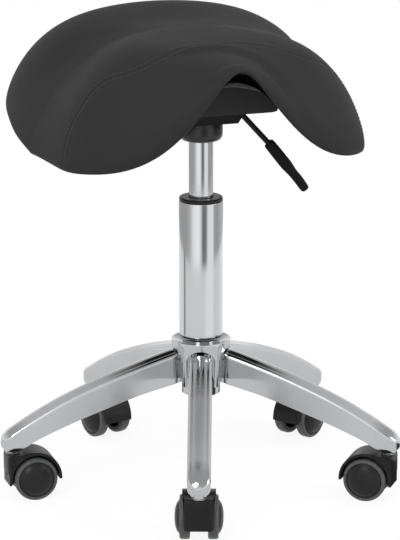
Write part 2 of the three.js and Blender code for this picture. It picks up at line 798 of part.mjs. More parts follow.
// One face of the shell, at a depth below its top
function shellSkin(depth) {
  const distanceAt = (share, angle) => -undersideDrop(share, angle) - fitGap - depth;
  const rings = Array.from({ length: shellRings }, (_, i) => {
    return saddleRing(ringShare(i + 1, cushionUndersideRings), distanceAt);
  });
  return { rings, pole: saddlePole(distanceAt(0, 0)) };
}

// A wall round the seat plate's outline, from the plate up into the shell
function shellSkirt() {
  const foot = plateTop + fitGap;
  const centre = (plateFront + plateRear) / 2;
  const wallSolid = (inset) => {
    const x = plateHalf - inset;
    const y = (plateRear - plateFront) / 2 - inset;
    const corner = skirtCorner - inset;
    const shape = new THREE.Shape();
    shape.absarc(x - corner, y - corner, corner, 0, Math.PI / 2);
    shape.absarc(corner - x, y - corner, corner, Math.PI / 2, Math.PI);
    shape.absarc(corner - x, corner - y, corner, Math.PI, Math.PI * 1.5);
    shape.absarc(x - corner, corner - y, corner, Math.PI * 1.5, Math.PI * 2);
    const settings = { depth: saddleMiddle(0, 0).z - foot, bevelEnabled: false, curveSegments: 2 };
    return new THREE.ExtrudeGeometry(shape, settings).translate(0, centre, foot);
  };
  return cut(wallSolid(skirtInset), wallSolid(skirtInset + skirtWall));
}

// The shell: an even skin under the cushion, its skirt, and a boss over each plate bolt
function seatShell() {
  const top = shellSkin(0);
  const under = shellSkin(shellThickness);
  const skin = loft([...under.rings, ...top.rings.reverse()], under.pole, top.pole);
  const half = shellSkin(shellThickness / 2);
  const lowered = half.rings[shellRings - 1].map((p) => p.clone().setZ(plateTop - bossDrop));
  const below = loft([...half.rings, lowered], half.pole, middleOf(lowered));
  const post = rod(bossRadius, plateTop + fitGap, saddleMiddle(0, 0).z, smallFacets);
  const bore = rod(boltRadius + fitGap, plateTop, boltTop + socketDepth, boltFacets);
  const bosses = boltPlaces.map(([x, y]) => common(post.clone().translate(x, y, 0), below));
  const bores = boltPlaces.map(([x, y]) => bore.clone().translate(x, y, 0));
  return cut(join(skin, common(shellSkirt(), below), ...bosses), ...bores);
}

const finishes = {
  chrome: { color: 0xc9cbcd, roughness: 0.12, metalness: 1 },
  steel: { color: 0x8f9194, roughness: 0.35, metalness: 1 },
  zinc: { color: 0xa2a3a1, roughness: 0.42, metalness: 1 },
  powderBlack: { color: 0x141415, roughness: 0.6, metalness: 0 },
  plasticBlack: { color: 0x17171a, roughness: 0.5, metalness: 0 },
  rubberBlack: { color: 0x101011, roughness: 0.85, metalness: 0 },
  treadGrey: { color: 0x5d5e60, roughness: 0.6, metalness: 0 },
  coverGrey: { color: 0x2b2c2d, roughness: 0.62, metalness: 0 },
};

const object = new THREE.Group();
object.name = 'saddle_stool';

function place(name, geometry, finish) {
  const closed = toGeometry(toSolid(geometry));
  const mesh = new THREE.Mesh(closed, new THREE.MeshStandardMaterial(finishes[finish]));
  mesh.name = name;
  object.add(mesh);
}

place('hub', hub(), 'chrome');
place('column_tube', columnTube(), 'chrome');
place('guide_bush', guideBush(), 'plasticBlack');
place('thrust_washer', thrustWasher(), 'steel');

const armPiece = arm();
const hoodPiece = casterHood();
for (let i = 0; i < armCount; i += 1) {
  const number = i + 1;
  const angle = armAngle(i);
  place(`arm_${number}`, armPiece.clone().rotateZ(angle), 'chrome');
  const stem = casterStem().translate(stemReach, 0, 0);
  place(`caster_${number}_stem`, stem.rotateZ(angle), 'zinc');
  const wheelPieces = [
    ['hood', hoodPiece.clone(), 'plasticBlack'], ['axle', casterAxle(), 'steel'],
    ['disc_left', wheelDisc(1), 'plasticBlack'], ['disc_right', wheelDisc(-1), 'plasticBlack'],
    ['tread_left', wheelTread(1), 'treadGrey'], ['tread_right', wheelTread(-1), 'treadGrey'],
  ];
  for (const [name, geometry, finish] of wheelPieces) {
    const there = geometry.translate(stemReach - trail, 0, 0).rotateZ(angle);
    place(`caster_${number}_${name}`, there, finish);
  }
}

place('piston_rod', pistonRod(), 'chrome');
place('retaining_clip', retainingClip(), 'zinc');
place('bumper', bumper(), 'rubberBlack');
place('gas_cylinder', gasCylinder(), 'chrome');
place('release_button', releaseButton(), 'steel');
place('taper_socket', taperSocket(), 'steel');
place('boot', boot(), 'plasticBlack');
place('seat_plate', seatPlate(), 'powderBlack');
boltPlaces.forEach(([x, y], i) => {
  place(`plate_bolt_${i + 1}`, plateBolt().translate(x, y, 0), 'zinc');
});
place('seat_shell', seatShell(), 'plasticBlack');
place('cushion', cushion(), 'coverGrey');
place('lever_rod', leverRod(), 'powderBlack');
place('lever_paddle', leverPaddle(), 'plasticBlack');

export default object;
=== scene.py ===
# %% [markdown]
# # A saddle stool on castors
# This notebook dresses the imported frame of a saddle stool. The frame holds every piece at its
# real size and says which body it moves with. Each cell below makes one kind of piece or one
# finish, from the seat down to the castors, and prints what it made.
# Everything is in metres, +Z up, with the origin on the floor under the column's axis. The
# saddle's narrow front looks along -Y.

# %% Load the frame
from functools import partialmethod
import bpy
import numpy as np
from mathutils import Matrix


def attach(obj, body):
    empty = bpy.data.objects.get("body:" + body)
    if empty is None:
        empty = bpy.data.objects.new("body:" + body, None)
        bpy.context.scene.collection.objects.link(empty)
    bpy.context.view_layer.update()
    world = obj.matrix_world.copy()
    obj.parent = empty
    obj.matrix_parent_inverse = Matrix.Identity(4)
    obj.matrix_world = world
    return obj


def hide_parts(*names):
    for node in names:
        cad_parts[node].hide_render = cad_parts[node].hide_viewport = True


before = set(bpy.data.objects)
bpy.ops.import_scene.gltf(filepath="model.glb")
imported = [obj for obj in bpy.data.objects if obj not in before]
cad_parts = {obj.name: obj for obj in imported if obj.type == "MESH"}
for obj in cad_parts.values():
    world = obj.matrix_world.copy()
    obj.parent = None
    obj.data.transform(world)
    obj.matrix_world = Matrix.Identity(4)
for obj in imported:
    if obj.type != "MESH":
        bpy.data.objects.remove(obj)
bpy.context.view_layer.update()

MM = 0.001

# %% [markdown]
# ## The camera
# A product photograph is taken with a long lens, so that a stool doesn't bulge towards the
# viewer. The camera stands a little over three metres away, looks down by fifteen degrees, and
# is turned nineteen degrees from the saddle's front. Its place is worked out from those numbers.

# %% Camera
VIEW_TURN = np.radians(-19.0)
VIEW_DOWN = np.radians(14.979)
VIEW_DISTANCE = 3.2
VIEW_HEIGHT = 1.1094
VIEW_ASIDE = -0.00112
LENS = 190.86


def linked(name, data):
    """A new object in the scene that shows this data."""
    made = bpy.data.objects.new(name, data)
    bpy.context.scene.collection.objects.link(made)
    return made


camera = linked("camera", bpy.data.cameras.new("camera"))
camera.location = (
    VIEW_ASIDE * np.cos(VIEW_TURN) + VIEW_DISTANCE * np.sin(VIEW_TURN),
    VIEW_ASIDE * np.sin(VIEW_TURN) - VIEW_DISTANCE * np.cos(VIEW_TURN),
    VIEW_HEIGHT,
)
camera.rotation_euler = (np.pi / 2 - VIEW_DOWN, 0.0, VIEW_TURN)
camera.data.lens = LENS
camera.data.sensor_width = 36.0
bpy.context.scene.camera = camera
bpy.context.scene.view_settings.view_transform = "Standard"
print("camera at", [round(v, 3) for v in camera.location])

# %% [markdown]
# ## Shader maths in plain expressions
# A material is a graph of nodes. Wiring a long formula by hand is hard to read, so one small
# class wraps a socket and turns +, -, * and / into Math nodes. Every other node comes from one
# method that sets the node up first and fills its sockets after.

# %% Material builder
class Value:
    """A socket that Python's operators turn into Math nodes."""

    def __init__(self, graph, socket):
        self.graph = graph
        self.socket = socket

    def maths(self, operation, other=0.0, swap=False):
        """A Math node on this value and another one or a number, in this order or swapped."""
        pair = (other, self) if swap else (self, other)
        return self.graph.node("Math", {"operation": operation}, {0: pair[0], 1: pair[1]})

    __add__ = __radd__ = partialmethod(maths, "ADD")
    __sub__ = partialmethod(maths, "SUBTRACT")
    __rsub__ = partialmethod(maths, "SUBTRACT", swap=True)
    __mul__ = __rmul__ = partialmethod(maths, "MULTIPLY")
    __truediv__ = partialmethod(maths, "DIVIDE")
    __pow__ = partialmethod(maths, "POWER")


class Graph:
    """A node tree and the one method that adds nodes to it."""

    def __init__(self, tree):
        self.tree = tree

    def fill(self, socket, value):
        """Links a value to a socket, or sets the socket to a number or colour."""
        if isinstance(value, Value):
            self.tree.links.new(value.socket, socket)
        else:
            socket.default_value = value

    def node(self, kind, settings=None, inputs=None, output=None):
        """Makes a node, sets its settings, then its sockets, and returns one of its outputs."""
        made = self.tree.nodes.new("ShaderNode" + kind)
        for key, value in (settings or {}).items():
            if key == "stops":
                ramp = made.color_ramp
                while len(ramp.elements) < len(value):
                    ramp.elements.new(0.5)
                for element, (place, tone) in zip(ramp.elements, value):
                    element.position = place
                    element.color = (tone, tone, tone, 1.0)
            else:
                setattr(made, key, value)
        for key, value in (inputs or {}).items():
            if isinstance(key, int):
                socket = made.inputs[key]
            else:
                socket = next(s for s in made.inputs if s.name == key and s.enabled)
            self.fill(socket, value)
        if not made.outputs:
            return None
        if output is None:
            return Value(self, next(s for s in made.outputs if s.enabled))
        return Value(self, made.outputs[output])

    def steps(self, value, *stops):
        """A value sent through a ramp of (place, tone) stops."""
        return self.node("ValToRGB", {"stops": stops}, {"Fac": value}, "Color")

    def rays(self, *kinds):
        """1 for the kinds of ray that are named, and 0 for the others."""
        named = [self.node("LightPath", output=f"Is {kind} Ray") for kind in kinds]
        return sum(named[1:], named[0])

    def blend(self, share, first, second):
        """Two shaders mixed: the first where the share is 0, the second where it is 1."""
        return self.node("MixShader", {}, {0: share, 1: first, 2: second})


class Finish(Graph):
    """One material: a Principled shader and the nodes that feed it."""

    def __init__(self, name, colour, **plain):
        self.material = bpy.data.materials.new(name)
        self.material.use_nodes = True
        super().__init__(self.material.node_tree)
        self.shader = self.tree.nodes["Principled BSDF"]
        self.colour = colour
        self.set("Base Color", (*colour, 1.0))
        for key, value in plain.items():
            self.set(key.replace("_", " "), value)

    def set(self, key, value):
        """Fills a socket of the Principled shader by its name."""
        self.fill(self.shader.inputs[key], value)

    def place(self, stretch=(1.0, 1.0, 1.0)):
        """The point on the object, in metres, with each direction stretched."""
        point = self.node("TexCoord", output="Object")
        return self.node("Mapping", {}, {"Vector": point, "Scale": stretch})

    def noise(self, per_metre, detail=3.0, stretch=(1.0, 1.0, 1.0)):
        """Cloudy noise from 0 to 1, with about this many blobs to the metre."""
        inputs = {"Vector": self.place(stretch), "Scale": per_metre, "Detail": detail}
        return self.node("TexNoise", {}, inputs, "Fac")

    def polish(self, low, spread, *cloud):
        """A roughness that wanders from low up by the spread, with a noise."""
        self.set("Roughness", low + self.noise(*cloud) * spread)

    def shade(self, amount, lighter, darker):
        """Moves the base colour between a darker and a lighter tone by a value from 0 to 1."""
        low, high = ((*(c * by for c in self.colour), 1.0) for by in (darker, lighter))
        tones = {"Factor": amount, "A": low, "B": high}
        self.set("Base Color", self.node("Mix", {"data_type": "RGBA"}, tones))

    def matte_where(self, amount, colour):
        """Gives way to a dull shader of one colour where the value is 1."""
        dull = {"Base Color": (*colour, 1.0), "Roughness": 1.0, "Specular IOR Level": 0.0}
        dull = self.node("BsdfPrincipled", {}, dull)
        both = self.blend(amount, Value(self, self.shader.outputs[0]), dull)
        self.fill(self.tree.nodes["Material Output"].inputs["Surface"], both)

    def relief(self, height, distance, strength=1.0):
        """Bumps the surface by a height from 0 to 1, which stands for this many metres."""
        inputs = {"Height": height, "Distance": distance, "Strength": strength}
        self.set("Normal", self.node("Bump", {}, inputs))


print("material builder ready")

# %% [markdown]
# ## Chrome, steel and zinc
# Chrome plate is almost a mirror, so its looks come from what it reflects. What makes it real
# is a very faint unevenness of polish. The arms are satin along their middle, where bright
# chrome would mirror the dark seat. Steel and zinc are duller: their roughness wanders, and fine
# lines from turning or rolling show in them.

# %% Metal finishes
POLISH, UNEVEN = 0.055, 0.07
SATIN_REACH, SATIN_MATTE = 0.25, 0.42
SATIN_STOPS = ((0.0, 0.0), (0.27, 0.0), (0.48, 1.0), (0.84, 1.0), (0.9, 0.0))


def chrome_finish(name, stretch=(1.0, 1.0, 1.0), satin=0.0):
    """Bright chrome whose polish wanders by a few hundredths, or an arm's, which is satin along
    its middle and bright at both ends: the roughness rises, and the metal falls, by a ramp of
    the reach."""
    chrome = Finish(name, (0.62, 0.625, 0.635), Metallic=1.0)
    roughness = POLISH + chrome.noise(45.0, 3.0, stretch) * UNEVEN
    if satin:
        plan = chrome.place((1.0, 1.0, 0.0))
        far = chrome.node("VectorMath", {"operation": "LENGTH"}, {0: plan}, "Value")
        dull = chrome.steps(far / SATIN_REACH, *SATIN_STOPS)
        chrome.set("Metallic", 1 - dull * SATIN_MATTE)
        roughness = roughness + dull * satin
    chrome.set("Roughness", roughness)
    chrome.shade(chrome.noise(9.0, 2.0), 1.05, 0.95)
    chrome.relief(chrome.noise(260.0, 2.0, stretch), 0.00004, 0.35)
    return chrome.material


CHROME = chrome_finish("chrome_plate")
CHROME_DRAWN = chrome_finish("drawn_chrome", (1.0, 1.0, 0.12))
CHROME_SATIN = chrome_finish("satin_chrome", satin=0.26)

steel = Finish("turned_steel", (0.36, 0.36, 0.37), Metallic=1.0)
steel.polish(0.26, 0.2, 900.0, 2.0, (1.0, 1.0, 0.1))
steel.shade(steel.noise(60.0), 1.15, 0.85)
STEEL = steel.material

zinc = Finish("zinc_plate", (0.42, 0.42, 0.4), Metallic=1.0)
zinc.polish(0.3, 0.25, 220.0, 4.0)
zinc.shade(zinc.noise(130.0, 3.0), 1.2, 0.8)
ZINC = zinc.material
print("metals", CHROME.name, CHROME_DRAWN.name, STEEL.name, ZINC.name)

# %% [markdown]
# ## Black plastics, powder coat and rubber
# Moulded plastic takes the fine grain of its mould. Powder coat has a soft orange-peel. Tread
# rubber is a grey, satin urethane with faint scuffs. Each gets its own scale of bump, because
# the eye tells these blacks apart only by how they break up a highlight.

# %% Dark finishes
def moulded(name, colour, roughness, grain_per_metre=1500.0, depth=0.00006, gloss=0.3):
    """Grained moulding: cells of noise for the grain, slower noise for the polish."""
    black = Finish(name, colour, Specular_IOR_Level=gloss)
    black.polish(roughness - 0.08, 0.16, 70.0)
    black.shade(black.noise(35.0), 1.25, 0.8)
    black.relief(black.noise(grain_per_metre, 2.0), depth, 0.6)
    return black.material


HOOD_BLACK = moulded("castor_black", (0.012, 0.012, 0.013), 0.34, gloss=0.22)
DISC_BLACK = moulded("disc_black", (0.016, 0.016, 0.017), 0.32, 1100.0, gloss=0.25)
BOOT_BLACK = moulded("boot_black", (0.012, 0.012, 0.0125), 0.26, 900.0, gloss=0.5)
BUSH_BLACK = moulded("bush_black", (0.014, 0.014, 0.015), 0.33, gloss=0.3)
GRIP_BLACK = moulded("grip_black", (0.006, 0.006, 0.0063), 0.5, 700.0, 0.0002, gloss=0.14)
SHELL_BLACK = moulded("shell_black", (0.042, 0.042, 0.043), 0.6, 600.0, 0.0002, gloss=0.2)
RUBBER_BLACK = moulded("bumper_rubber", (0.015, 0.015, 0.015), 0.75, 500.0)

powder = Finish("powder_coat", (0.006, 0.006, 0.0065), Specular_IOR_Level=0.2)
powder.polish(0.36, 0.18, 90.0)
powder.shade(powder.noise(50.0), 1.2, 0.8)
powder.relief(powder.noise(650.0, 1.5), 0.00012, 0.6)
POWDER = powder.material

tread = Finish("tread_grey", (0.1, 0.102, 0.106), Specular_IOR_Level=0.35)
tread.polish(0.34, 0.22, 120.0, 4.0)
scuffs = tread.steps(tread.noise(380.0, 5.0), (0.45, 0.0), (0.7, 1.0))
tread.shade(scuffs, 1.25, 0.85)
tread.relief(tread.noise(1400.0, 2.0), 0.00005, 0.5)
TREAD = tread.material
print("dark finishes ready")

# %% [markdown]
# ## Surfaces from numbers
# Every new piece is a grid of points: a function of two parameters, or a profile carried round
# an axis or along a path. The grid is closed round the profile, closed at its ends by a cap,
# and turned so that it faces outwards, which the sign of its volume shows.

# %% Grids into meshes
def full_turn(count):
    """Even angles once round."""
    return np.linspace(0.0, 2 * np.pi, count, endpoint=False)


def unit(vectors):
    """Vectors with their length made 1."""
    return vectors / np.linalg.norm(vectors, axis=-1, keepdims=True)


def bell(x):
    """1 at 0, and falling off smoothly on both sides."""
    return np.exp(-x ** 2)


def s_curve(t):
    """From 0 to 1 with level ends."""
    return t ** 2 * (3 - 2 * t)


def run_length(points):
    """How far along a row of points each of them is."""
    return np.concatenate([[0.0], np.cumsum(np.linalg.norm(np.diff(points, axis=0), axis=1))])


def around_z(radius, angle, height):
    """Points at a radius and an angle round the Z axis, at a height."""
    parts = radius * np.cos(angle), radius * np.sin(angle), height
    return np.stack(np.broadcast_arrays(*parts), -1)


def about_z(points, angle):
    """Points turned about the Z axis."""
    c, s = np.cos(angle), np.sin(angle)
    x, y = points[..., 0], points[..., 1]
    return np.stack([x * c - y * s, x * s + y * c, points[..., 2]], -1)


def moved(points, x, y=0.0, z=0.0):
    """Points in metres moved by millimetres."""
    return points + np.array([x, y, z]) * MM


def patch(points, around=True, caps=True, ends_joined=False):
    """Quads between neighbours of a (rows, columns, 3) grid, with a fan over each end if capped."""
    rows, columns = points.shape[:2]
    index = np.arange(rows * columns).reshape(rows, columns)
    flat = points.reshape(-1, 3)
    vertices, fans = [flat], [np.zeros((0, 3), int)]
    if caps:
        for centre, ring in enumerate((index[0], index[-1][::-1]), rows * columns):
            vertices.append(flat[ring].mean(0)[None])
            fans.append(np.stack([np.full(columns, centre), np.roll(ring, -1), ring], -1))
    if ends_joined:
        index = np.concatenate([index, index[:1]])
    here = index if around else index[:, :-1]
    beside = np.roll(index, -1, 1) if around else index[:, 1:]
    quads = np.stack([here[:-1], beside[:-1], beside[1:], here[1:]], -1).reshape(-1, 4)
    vertices, fans = np.concatenate(vertices), np.concatenate(fans)
    corners = np.concatenate([quads[:, [0, 1, 2]], quads[:, [0, 2, 3]], fans])
    a, b, c = (vertices[corners[:, k]] for k in range(3))
    if np.einsum("ij,ij->i", a, np.cross(b, c)).sum() < 0:
        quads, fans = quads[:, ::-1], fans[:, ::-1]
    return vertices, quads, fans


def closed_patch(points):
    """A grid that is closed both ways, as a ring is."""
    return patch(points, True, False, True)


def piece(name, patches, material, body, stands_for=(), smooth=40.0):
    """Joins patches into one object that rides on a body and stands for CAD nodes."""
    vertices, quads, fans, start = [], [], [], 0
    for v, q, f in patches:
        vertices.append(v)
        quads.append(q + start)
        fans.append(f + start)
        start += len(v)
    vertices, quads, fans = (np.concatenate(part) for part in (vertices, quads, fans))
    mesh = bpy.data.meshes.new(name)
    mesh.from_pydata(vertices.tolist(), [], quads.tolist() + fans.tolist())
    mesh.validate()
    mesh.shade_smooth()
    mesh.set_sharp_from_angle(angle=np.radians(smooth))
    mesh.materials.append(material)
    made = linked(name, mesh)
    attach(made, body)
    if stands_for:
        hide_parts(*stands_for)
    return made


def turned(profile, count=96):
    """A closed profile of (radius, height) in millimetres carried round the Z axis."""
    radius, height = np.asarray(profile, float).T * MM
    return around_z(radius, full_turn(count)[:, None], height)


def spun(profile, count):
    """The same for a profile that starts and ends on Z, as rings that two caps can close."""
    return np.swapaxes(turned(profile, count), 0, 1)[1:-1]


def eased(profile, radius=0.6, steps=4, closed=True):
    """Rounds each corner of a profile in millimetres by a small arc, and keeps its ends."""
    profile = np.asarray(profile, float)
    out = []
    count = len(profile)
    for k in range(count):
        here = profile[k]
        if not closed and k in (0, count - 1):
            out.append(here)
            continue
        before, after = profile[k - 1], profile[(k + 1) % count]
        a, b = before - here, after - here
        la, lb = np.hypot(*a), np.hypot(*b)
        reach = min(radius, 0.45 * la, 0.45 * lb)
        start, end = here + a / la * reach, here + b / lb * reach
        for t in np.linspace(0.0, 1.0, steps + 1):
            out.append((1 - t) ** 2 * start + 2 * t * (1 - t) * here + t * t * end)
    return np.array(out)


def bushing(inner, outer, foot, top):
    """A short tube with eased edges."""
    return turned(eased([(inner, foot), (outer, foot), (outer, top), (inner, top)], 0.4), 40)


def ring_piece(name, profile, material, body, stands_for, radius):
    """A turned piece: a profile with its corners eased by a radius, carried round Z."""
    grid = closed_patch(turned(eased(profile, radius)))
    return piece(name, [grid], material, body, stands_for)


def smooth_line(table, x):
    """A table of (place, value) read through a cubic that passes every point without overshoot."""
    place, value = table[:, 0], table[:, 1]
    slope = np.diff(value) / np.diff(place)
    before, after = slope[:-1], slope[1:]
    middle = np.where(before * after > 0, 2 * before * after / (before + after), 0.0)
    tangent = np.concatenate([slope[:1], middle, slope[-1:]])
    k = np.clip(np.searchsorted(place, x) - 1, 0, len(slope) - 1)
    span = place[k + 1] - place[k]
    t = (x - place[k]) / span
    return (value[k] * (2 * t ** 3 - 3 * t ** 2 + 1) + value[k + 1] * (3 * t ** 2 - 2 * t ** 3)
            + tangent[k] * span * (t ** 3 - 2 * t ** 2 + t) + tangent[k + 1] * span * (t ** 3 - t ** 2))


def through_points(table, count):
    """A table of points joined by a smooth curve, read at even steps of its parameter."""
    s = run_length(table[:, :2])
    t = np.linspace(0.0, s[-1], count)
    return np.stack([smooth_line(np.stack([s, column], -1), t) for column in table.T], -1)


print("mesh helpers ready")

# %% [markdown]
# ## The saddle's form
# A saddle seat is a dome whose rim is nearly level, except at the narrow front, where it rises
# in an arch so that the thighs can hang. One formula gives the middle of the padding. A share
# runs from 0 at the crown to 1 at the rim, and an angle runs round from the front.

# %% Saddle surface
SADDLE_CENTRE = 0.049
HALF_LENGTH = 0.188
HALF_WIDTH = 0.234
TAPER, WAIST, REAR_FULL = 0.03, -0.214, 0.105
VALLEY_HEIGHT, VALLEY_PLACE, CROWN_REACH = 0.5085, 0.069, 0.15
FRONT_RISE, REAR_RISE = -0.0082, 0.0548
ARCH_HEIGHT, WING_HEIGHT, REAR_RIM = 0.5124, 0.3945, 0.442
ARCH_SPREAD, ARCH_POWER, ARCH_ROUND, REAR_POWER = 0.243, 1.247, 0.052, 0.9
FRONT_FULL, SIDE_FULL, REAR_FULLNESS = 8.6, 2.87, 4.2
THICKNESS = 0.046
TOP_EDGE, UNDER_EDGE = 5, 12
ARCH_THIN, ARCH_THIN_ANGLE = 0.85, 0.45
RIM_SWELLS = [(0.036, 1.75, 0.25), (0.022, 0.96, 0.16)]
TOP_SWELLS = [(0.0034, 2.08, 0.24, 0.73, 0.13)]


def from_front(angle):
    """How far an angle is from the front, to either side."""
    return np.abs((angle + np.pi) % (2 * np.pi) - np.pi)


def saddle_middle(share, angle):
    """Plan: an ellipse, narrowed at the front and waist. Height: the rim's height at this angle,
    plus the crown's rise over it times one minus the share to the fullness power. A few bells, a
    few millimetres high, round the flank and the rear out as foam under a cover does."""
    c, s, turn = np.cos(angle), np.sin(angle), from_front(angle)
    narrow = 1 - TAPER * c - WAIST * (2 * c * c - 1) - REAR_FULL * c ** 3
    swell = sum(size * bell((turn - at) / spread) for size, at, spread in RIM_SWELLS)
    wide = share * (1 + swell * share ** 6)
    x = wide * HALF_WIDTH * s * narrow
    y = SADDLE_CENTRE - wide * HALF_LENGTH * c
    away = (np.hypot(turn, ARCH_ROUND) - ARCH_ROUND) / ARCH_SPREAD
    front, rear = np.clip(c, 0, None), np.clip(-c, 0, None)
    rim = WING_HEIGHT + (ARCH_HEIGHT - WING_HEIGHT) * np.exp(-away ** ARCH_POWER)
    rim = rim + (REAR_RIM - WING_HEIGHT) * rear ** REAR_POWER
    full = SIDE_FULL + (FRONT_FULL - SIDE_FULL) * front ** 2 + (REAR_FULLNESS - SIDE_FULL) * rear ** 2
    to_front = np.clip(VALLEY_PLACE - y, 0, None) / CROWN_REACH
    to_rear = np.clip(y - VALLEY_PLACE, 0, None) / CROWN_REACH
    crown = VALLEY_HEIGHT + FRONT_RISE * to_front ** 2 + REAR_RISE * to_rear ** 2
    raised = sum(rise * bell((turn - at) / spread) * bell((share - place) / reach)
                 for rise, at, spread, place, reach in TOP_SWELLS)
    return np.stack([x, y, rim + (crown - rim) * (1 - share ** full) + raised], -1)


def saddle_normal(share, angle):
    """The upward unit normal, from small steps along both parameters."""
    step = 0.001
    share = np.clip(share, 0.02, None)
    out = saddle_middle(share + step, angle) - saddle_middle(share - step, angle)
    along = saddle_middle(share, angle + step) - saddle_middle(share, angle - step)
    normal = unit(np.cross(out, along))
    return normal * np.where(normal[..., 2:] < 0, -1.0, 1.0)


def on_grid(skin, share, angle):
    """A skin's points for every pair of a row of shares and a row of angles."""
    return skin(*np.broadcast_arrays(share[:, None], angle[None, :]))


def top_lift(share):
    """Half the padding's thickness, closed at the rim by the root of 1 - share ** TOP_EDGE."""
    return THICKNESS / 2 * np.sqrt(np.clip(1 - share ** TOP_EDGE, 0, 1))


def under_drop(share, angle):
    """The same below, and thinner towards the arch, where the padding runs out to a lip."""
    thin = 1 - ARCH_THIN * share * bell(from_front(angle) / ARCH_THIN_ANGLE)
    return THICKNESS / 2 * thin * np.sqrt(np.clip(1 - share ** UNDER_EDGE, 0, 1))


def top_skin(share, angle):
    """The padding's upper face."""
    return saddle_middle(share, angle) + saddle_normal(share, angle) * top_lift(share)[..., None]


def under_skin(share, angle, below=0.0):
    """The padding's underside, or a skin that lies this far below it."""
    drop = under_drop(share, angle) + below
    return saddle_middle(share, angle) - saddle_normal(share, angle) * drop[..., None]


AROUND, CROWDED = 420, 0.6
ring_angle = full_turn(AROUND) - CROWDED * np.sin(full_turn(AROUND))
print("crown of the padding at", saddle_middle(np.array(0.0), np.array(0.0)).round(4))

# %% [markdown]
# ## The cushion
# The cover is cut from two panels that meet in a seam across the seat, ahead of the column.
# Just in front of it the cover is drawn over the edge of the arch, so there the foam dips along
# a soft fold that runs on down the right leg. Both are lines on the cover, each given by a few
# points. Every point of the grid asks how far it is from the nearest bit of a line, and on which
# side, and moves in by a smooth function of that distance. The distance from the seam is also
# kept as an attribute, so that the material can press in a channel finer than the grid.

# %% Lines on the cover
SEAM_TABLE = [
    (59.3, 0.998), (58.2, 0.97), (57.2, 0.927), (55.8, 0.891), (53.6, 0.856), (50.2, 0.8), (45.5, 0.762),
    (37.2, 0.742), (31.0, 0.716), (26.0, 0.664), (18.8, 0.569), (10.4, 0.512)]
SEAM_TABLE = [(-turn, share) for turn, share in SEAM_TABLE] + [(0.0, 0.5)] + SEAM_TABLE[::-1]
FOLD_TABLE = [
    (-40.0, 0.765), (-30.2, 0.746), (-24.4, 0.697), (-19.4, 0.643), (-11.0, 0.6), (-2.0, 0.59), (3.0, 0.628),
    (6.6, 0.712), (9.0, 0.789), (10.3, 0.855), (11.4, 0.905), (13.0, 0.94), (15.5, 0.962),
    (19.0, 0.98), (24.0, 0.99)]
DEGREES_A_SHARE = 60.0
LINE_FADE = 0.015


def cover_line(table, count=300):
    """A smooth line on the cover through (degrees from the front, share) points: its points,
    the directions along it and, square to that and to the normal, across it to the front, and
    its shares and angles."""
    turn, share = through_points(np.array(table) / [DEGREES_A_SHARE, 1.0], count).T
    angle = np.radians(DEGREES_A_SHARE * turn)
    points = top_skin(share, angle)
    along = unit(np.gradient(points, axis=0))
    return points, along, unit(np.cross(along, saddle_normal(share, angle))), share, angle


def from_line(points, line):
    """For each point, its distance across the line at the line's nearest point, how far along
    the line that is, from 0 to 1, and a weight that dies away beyond the line's two ends."""
    spots, along, across = line[:3]
    flat = points.reshape(-1, 3)
    near = ((spots ** 2).sum(1) - 2 * flat @ spots.T).argmin(1)
    gap = flat - spots[near]
    beyond = np.einsum("ij,ij->i", gap, along[near])
    beside = np.einsum("ij,ij->i", gap, across[near])
    out = beside, near / (len(spots) - 1), bell(beyond / LINE_FADE)
    return [part.reshape(points.shape[:-1]) for part in out]


seam, fold = cover_line(SEAM_TABLE), cover_line(FOLD_TABLE)
print("seam", round(np.linalg.norm(np.diff(seam[0], axis=0), axis=1).sum(), 3), "m long")

# %% Cushion mesh
FOLD_AT = [0.0, 0.12, 0.3, 0.5, 0.62, 0.8, 0.92, 1.0]
FOLD_DEPTH = [0.0, 0.0012, 0.0028, 0.003, 0.0026, 0.0024, 0.0016, 0.0]
FOLD_FRONT = [0.03, 0.03, 0.028, 0.024, 0.014, 0.008, 0.006, 0.006]
FOLD_BACK, RIDGE_BACK, RIDGE_WIDTH, RIDGE_SHARE = 0.009, 0.013, 0.006, 0.25
CHANNEL_DEPTH, CHANNEL_WIDTH = 0.0005, 0.0025
LIP_RISE, LIP_SHARE, LIP_WIDTH, LIP_TURN = 0.0012, 0.955, 0.03, 0.5


def sewn(points):
    """How far the cover is drawn in. The fold: a bell over the distance, wide in front of the
    line and narrow behind it, with a faint ridge further behind. The seam: a thin bell."""
    beside, at, weight = from_line(points, fold)
    width = np.where(beside > 0, np.interp(at, FOLD_AT, FOLD_FRONT), FOLD_BACK)
    depth = np.interp(at, FOLD_AT, FOLD_DEPTH) * weight
    dip = depth * (bell(beside / width) - RIDGE_SHARE * bell((beside + RIDGE_BACK) / RIDGE_WIDTH))
    beside, _, weight = from_line(points, seam)
    return dip + CHANNEL_DEPTH * weight * bell(beside / CHANNEL_WIDTH)


def cover_skin(share, angle):
    """The top skin, drawn in where it is sewn, and raised a little in a lip along the arch."""
    points = top_skin(share, angle)
    lip = LIP_RISE * bell((share - LIP_SHARE) / LIP_WIDTH) * bell(from_front(angle) / LIP_TURN)
    return points + saddle_normal(share, angle) * (lip - sewn(points))[..., None]


top_share = np.sin(np.linspace(0.004, np.pi / 2, 150))
under_share = np.sin(np.linspace(np.pi / 2, 0.004, 40))[1:]
top = on_grid(cover_skin, top_share, ring_angle)
cushion_points = np.concatenate([top, on_grid(under_skin, under_share, ring_angle)])
print("cushion rows and columns", cushion_points.shape[:2])
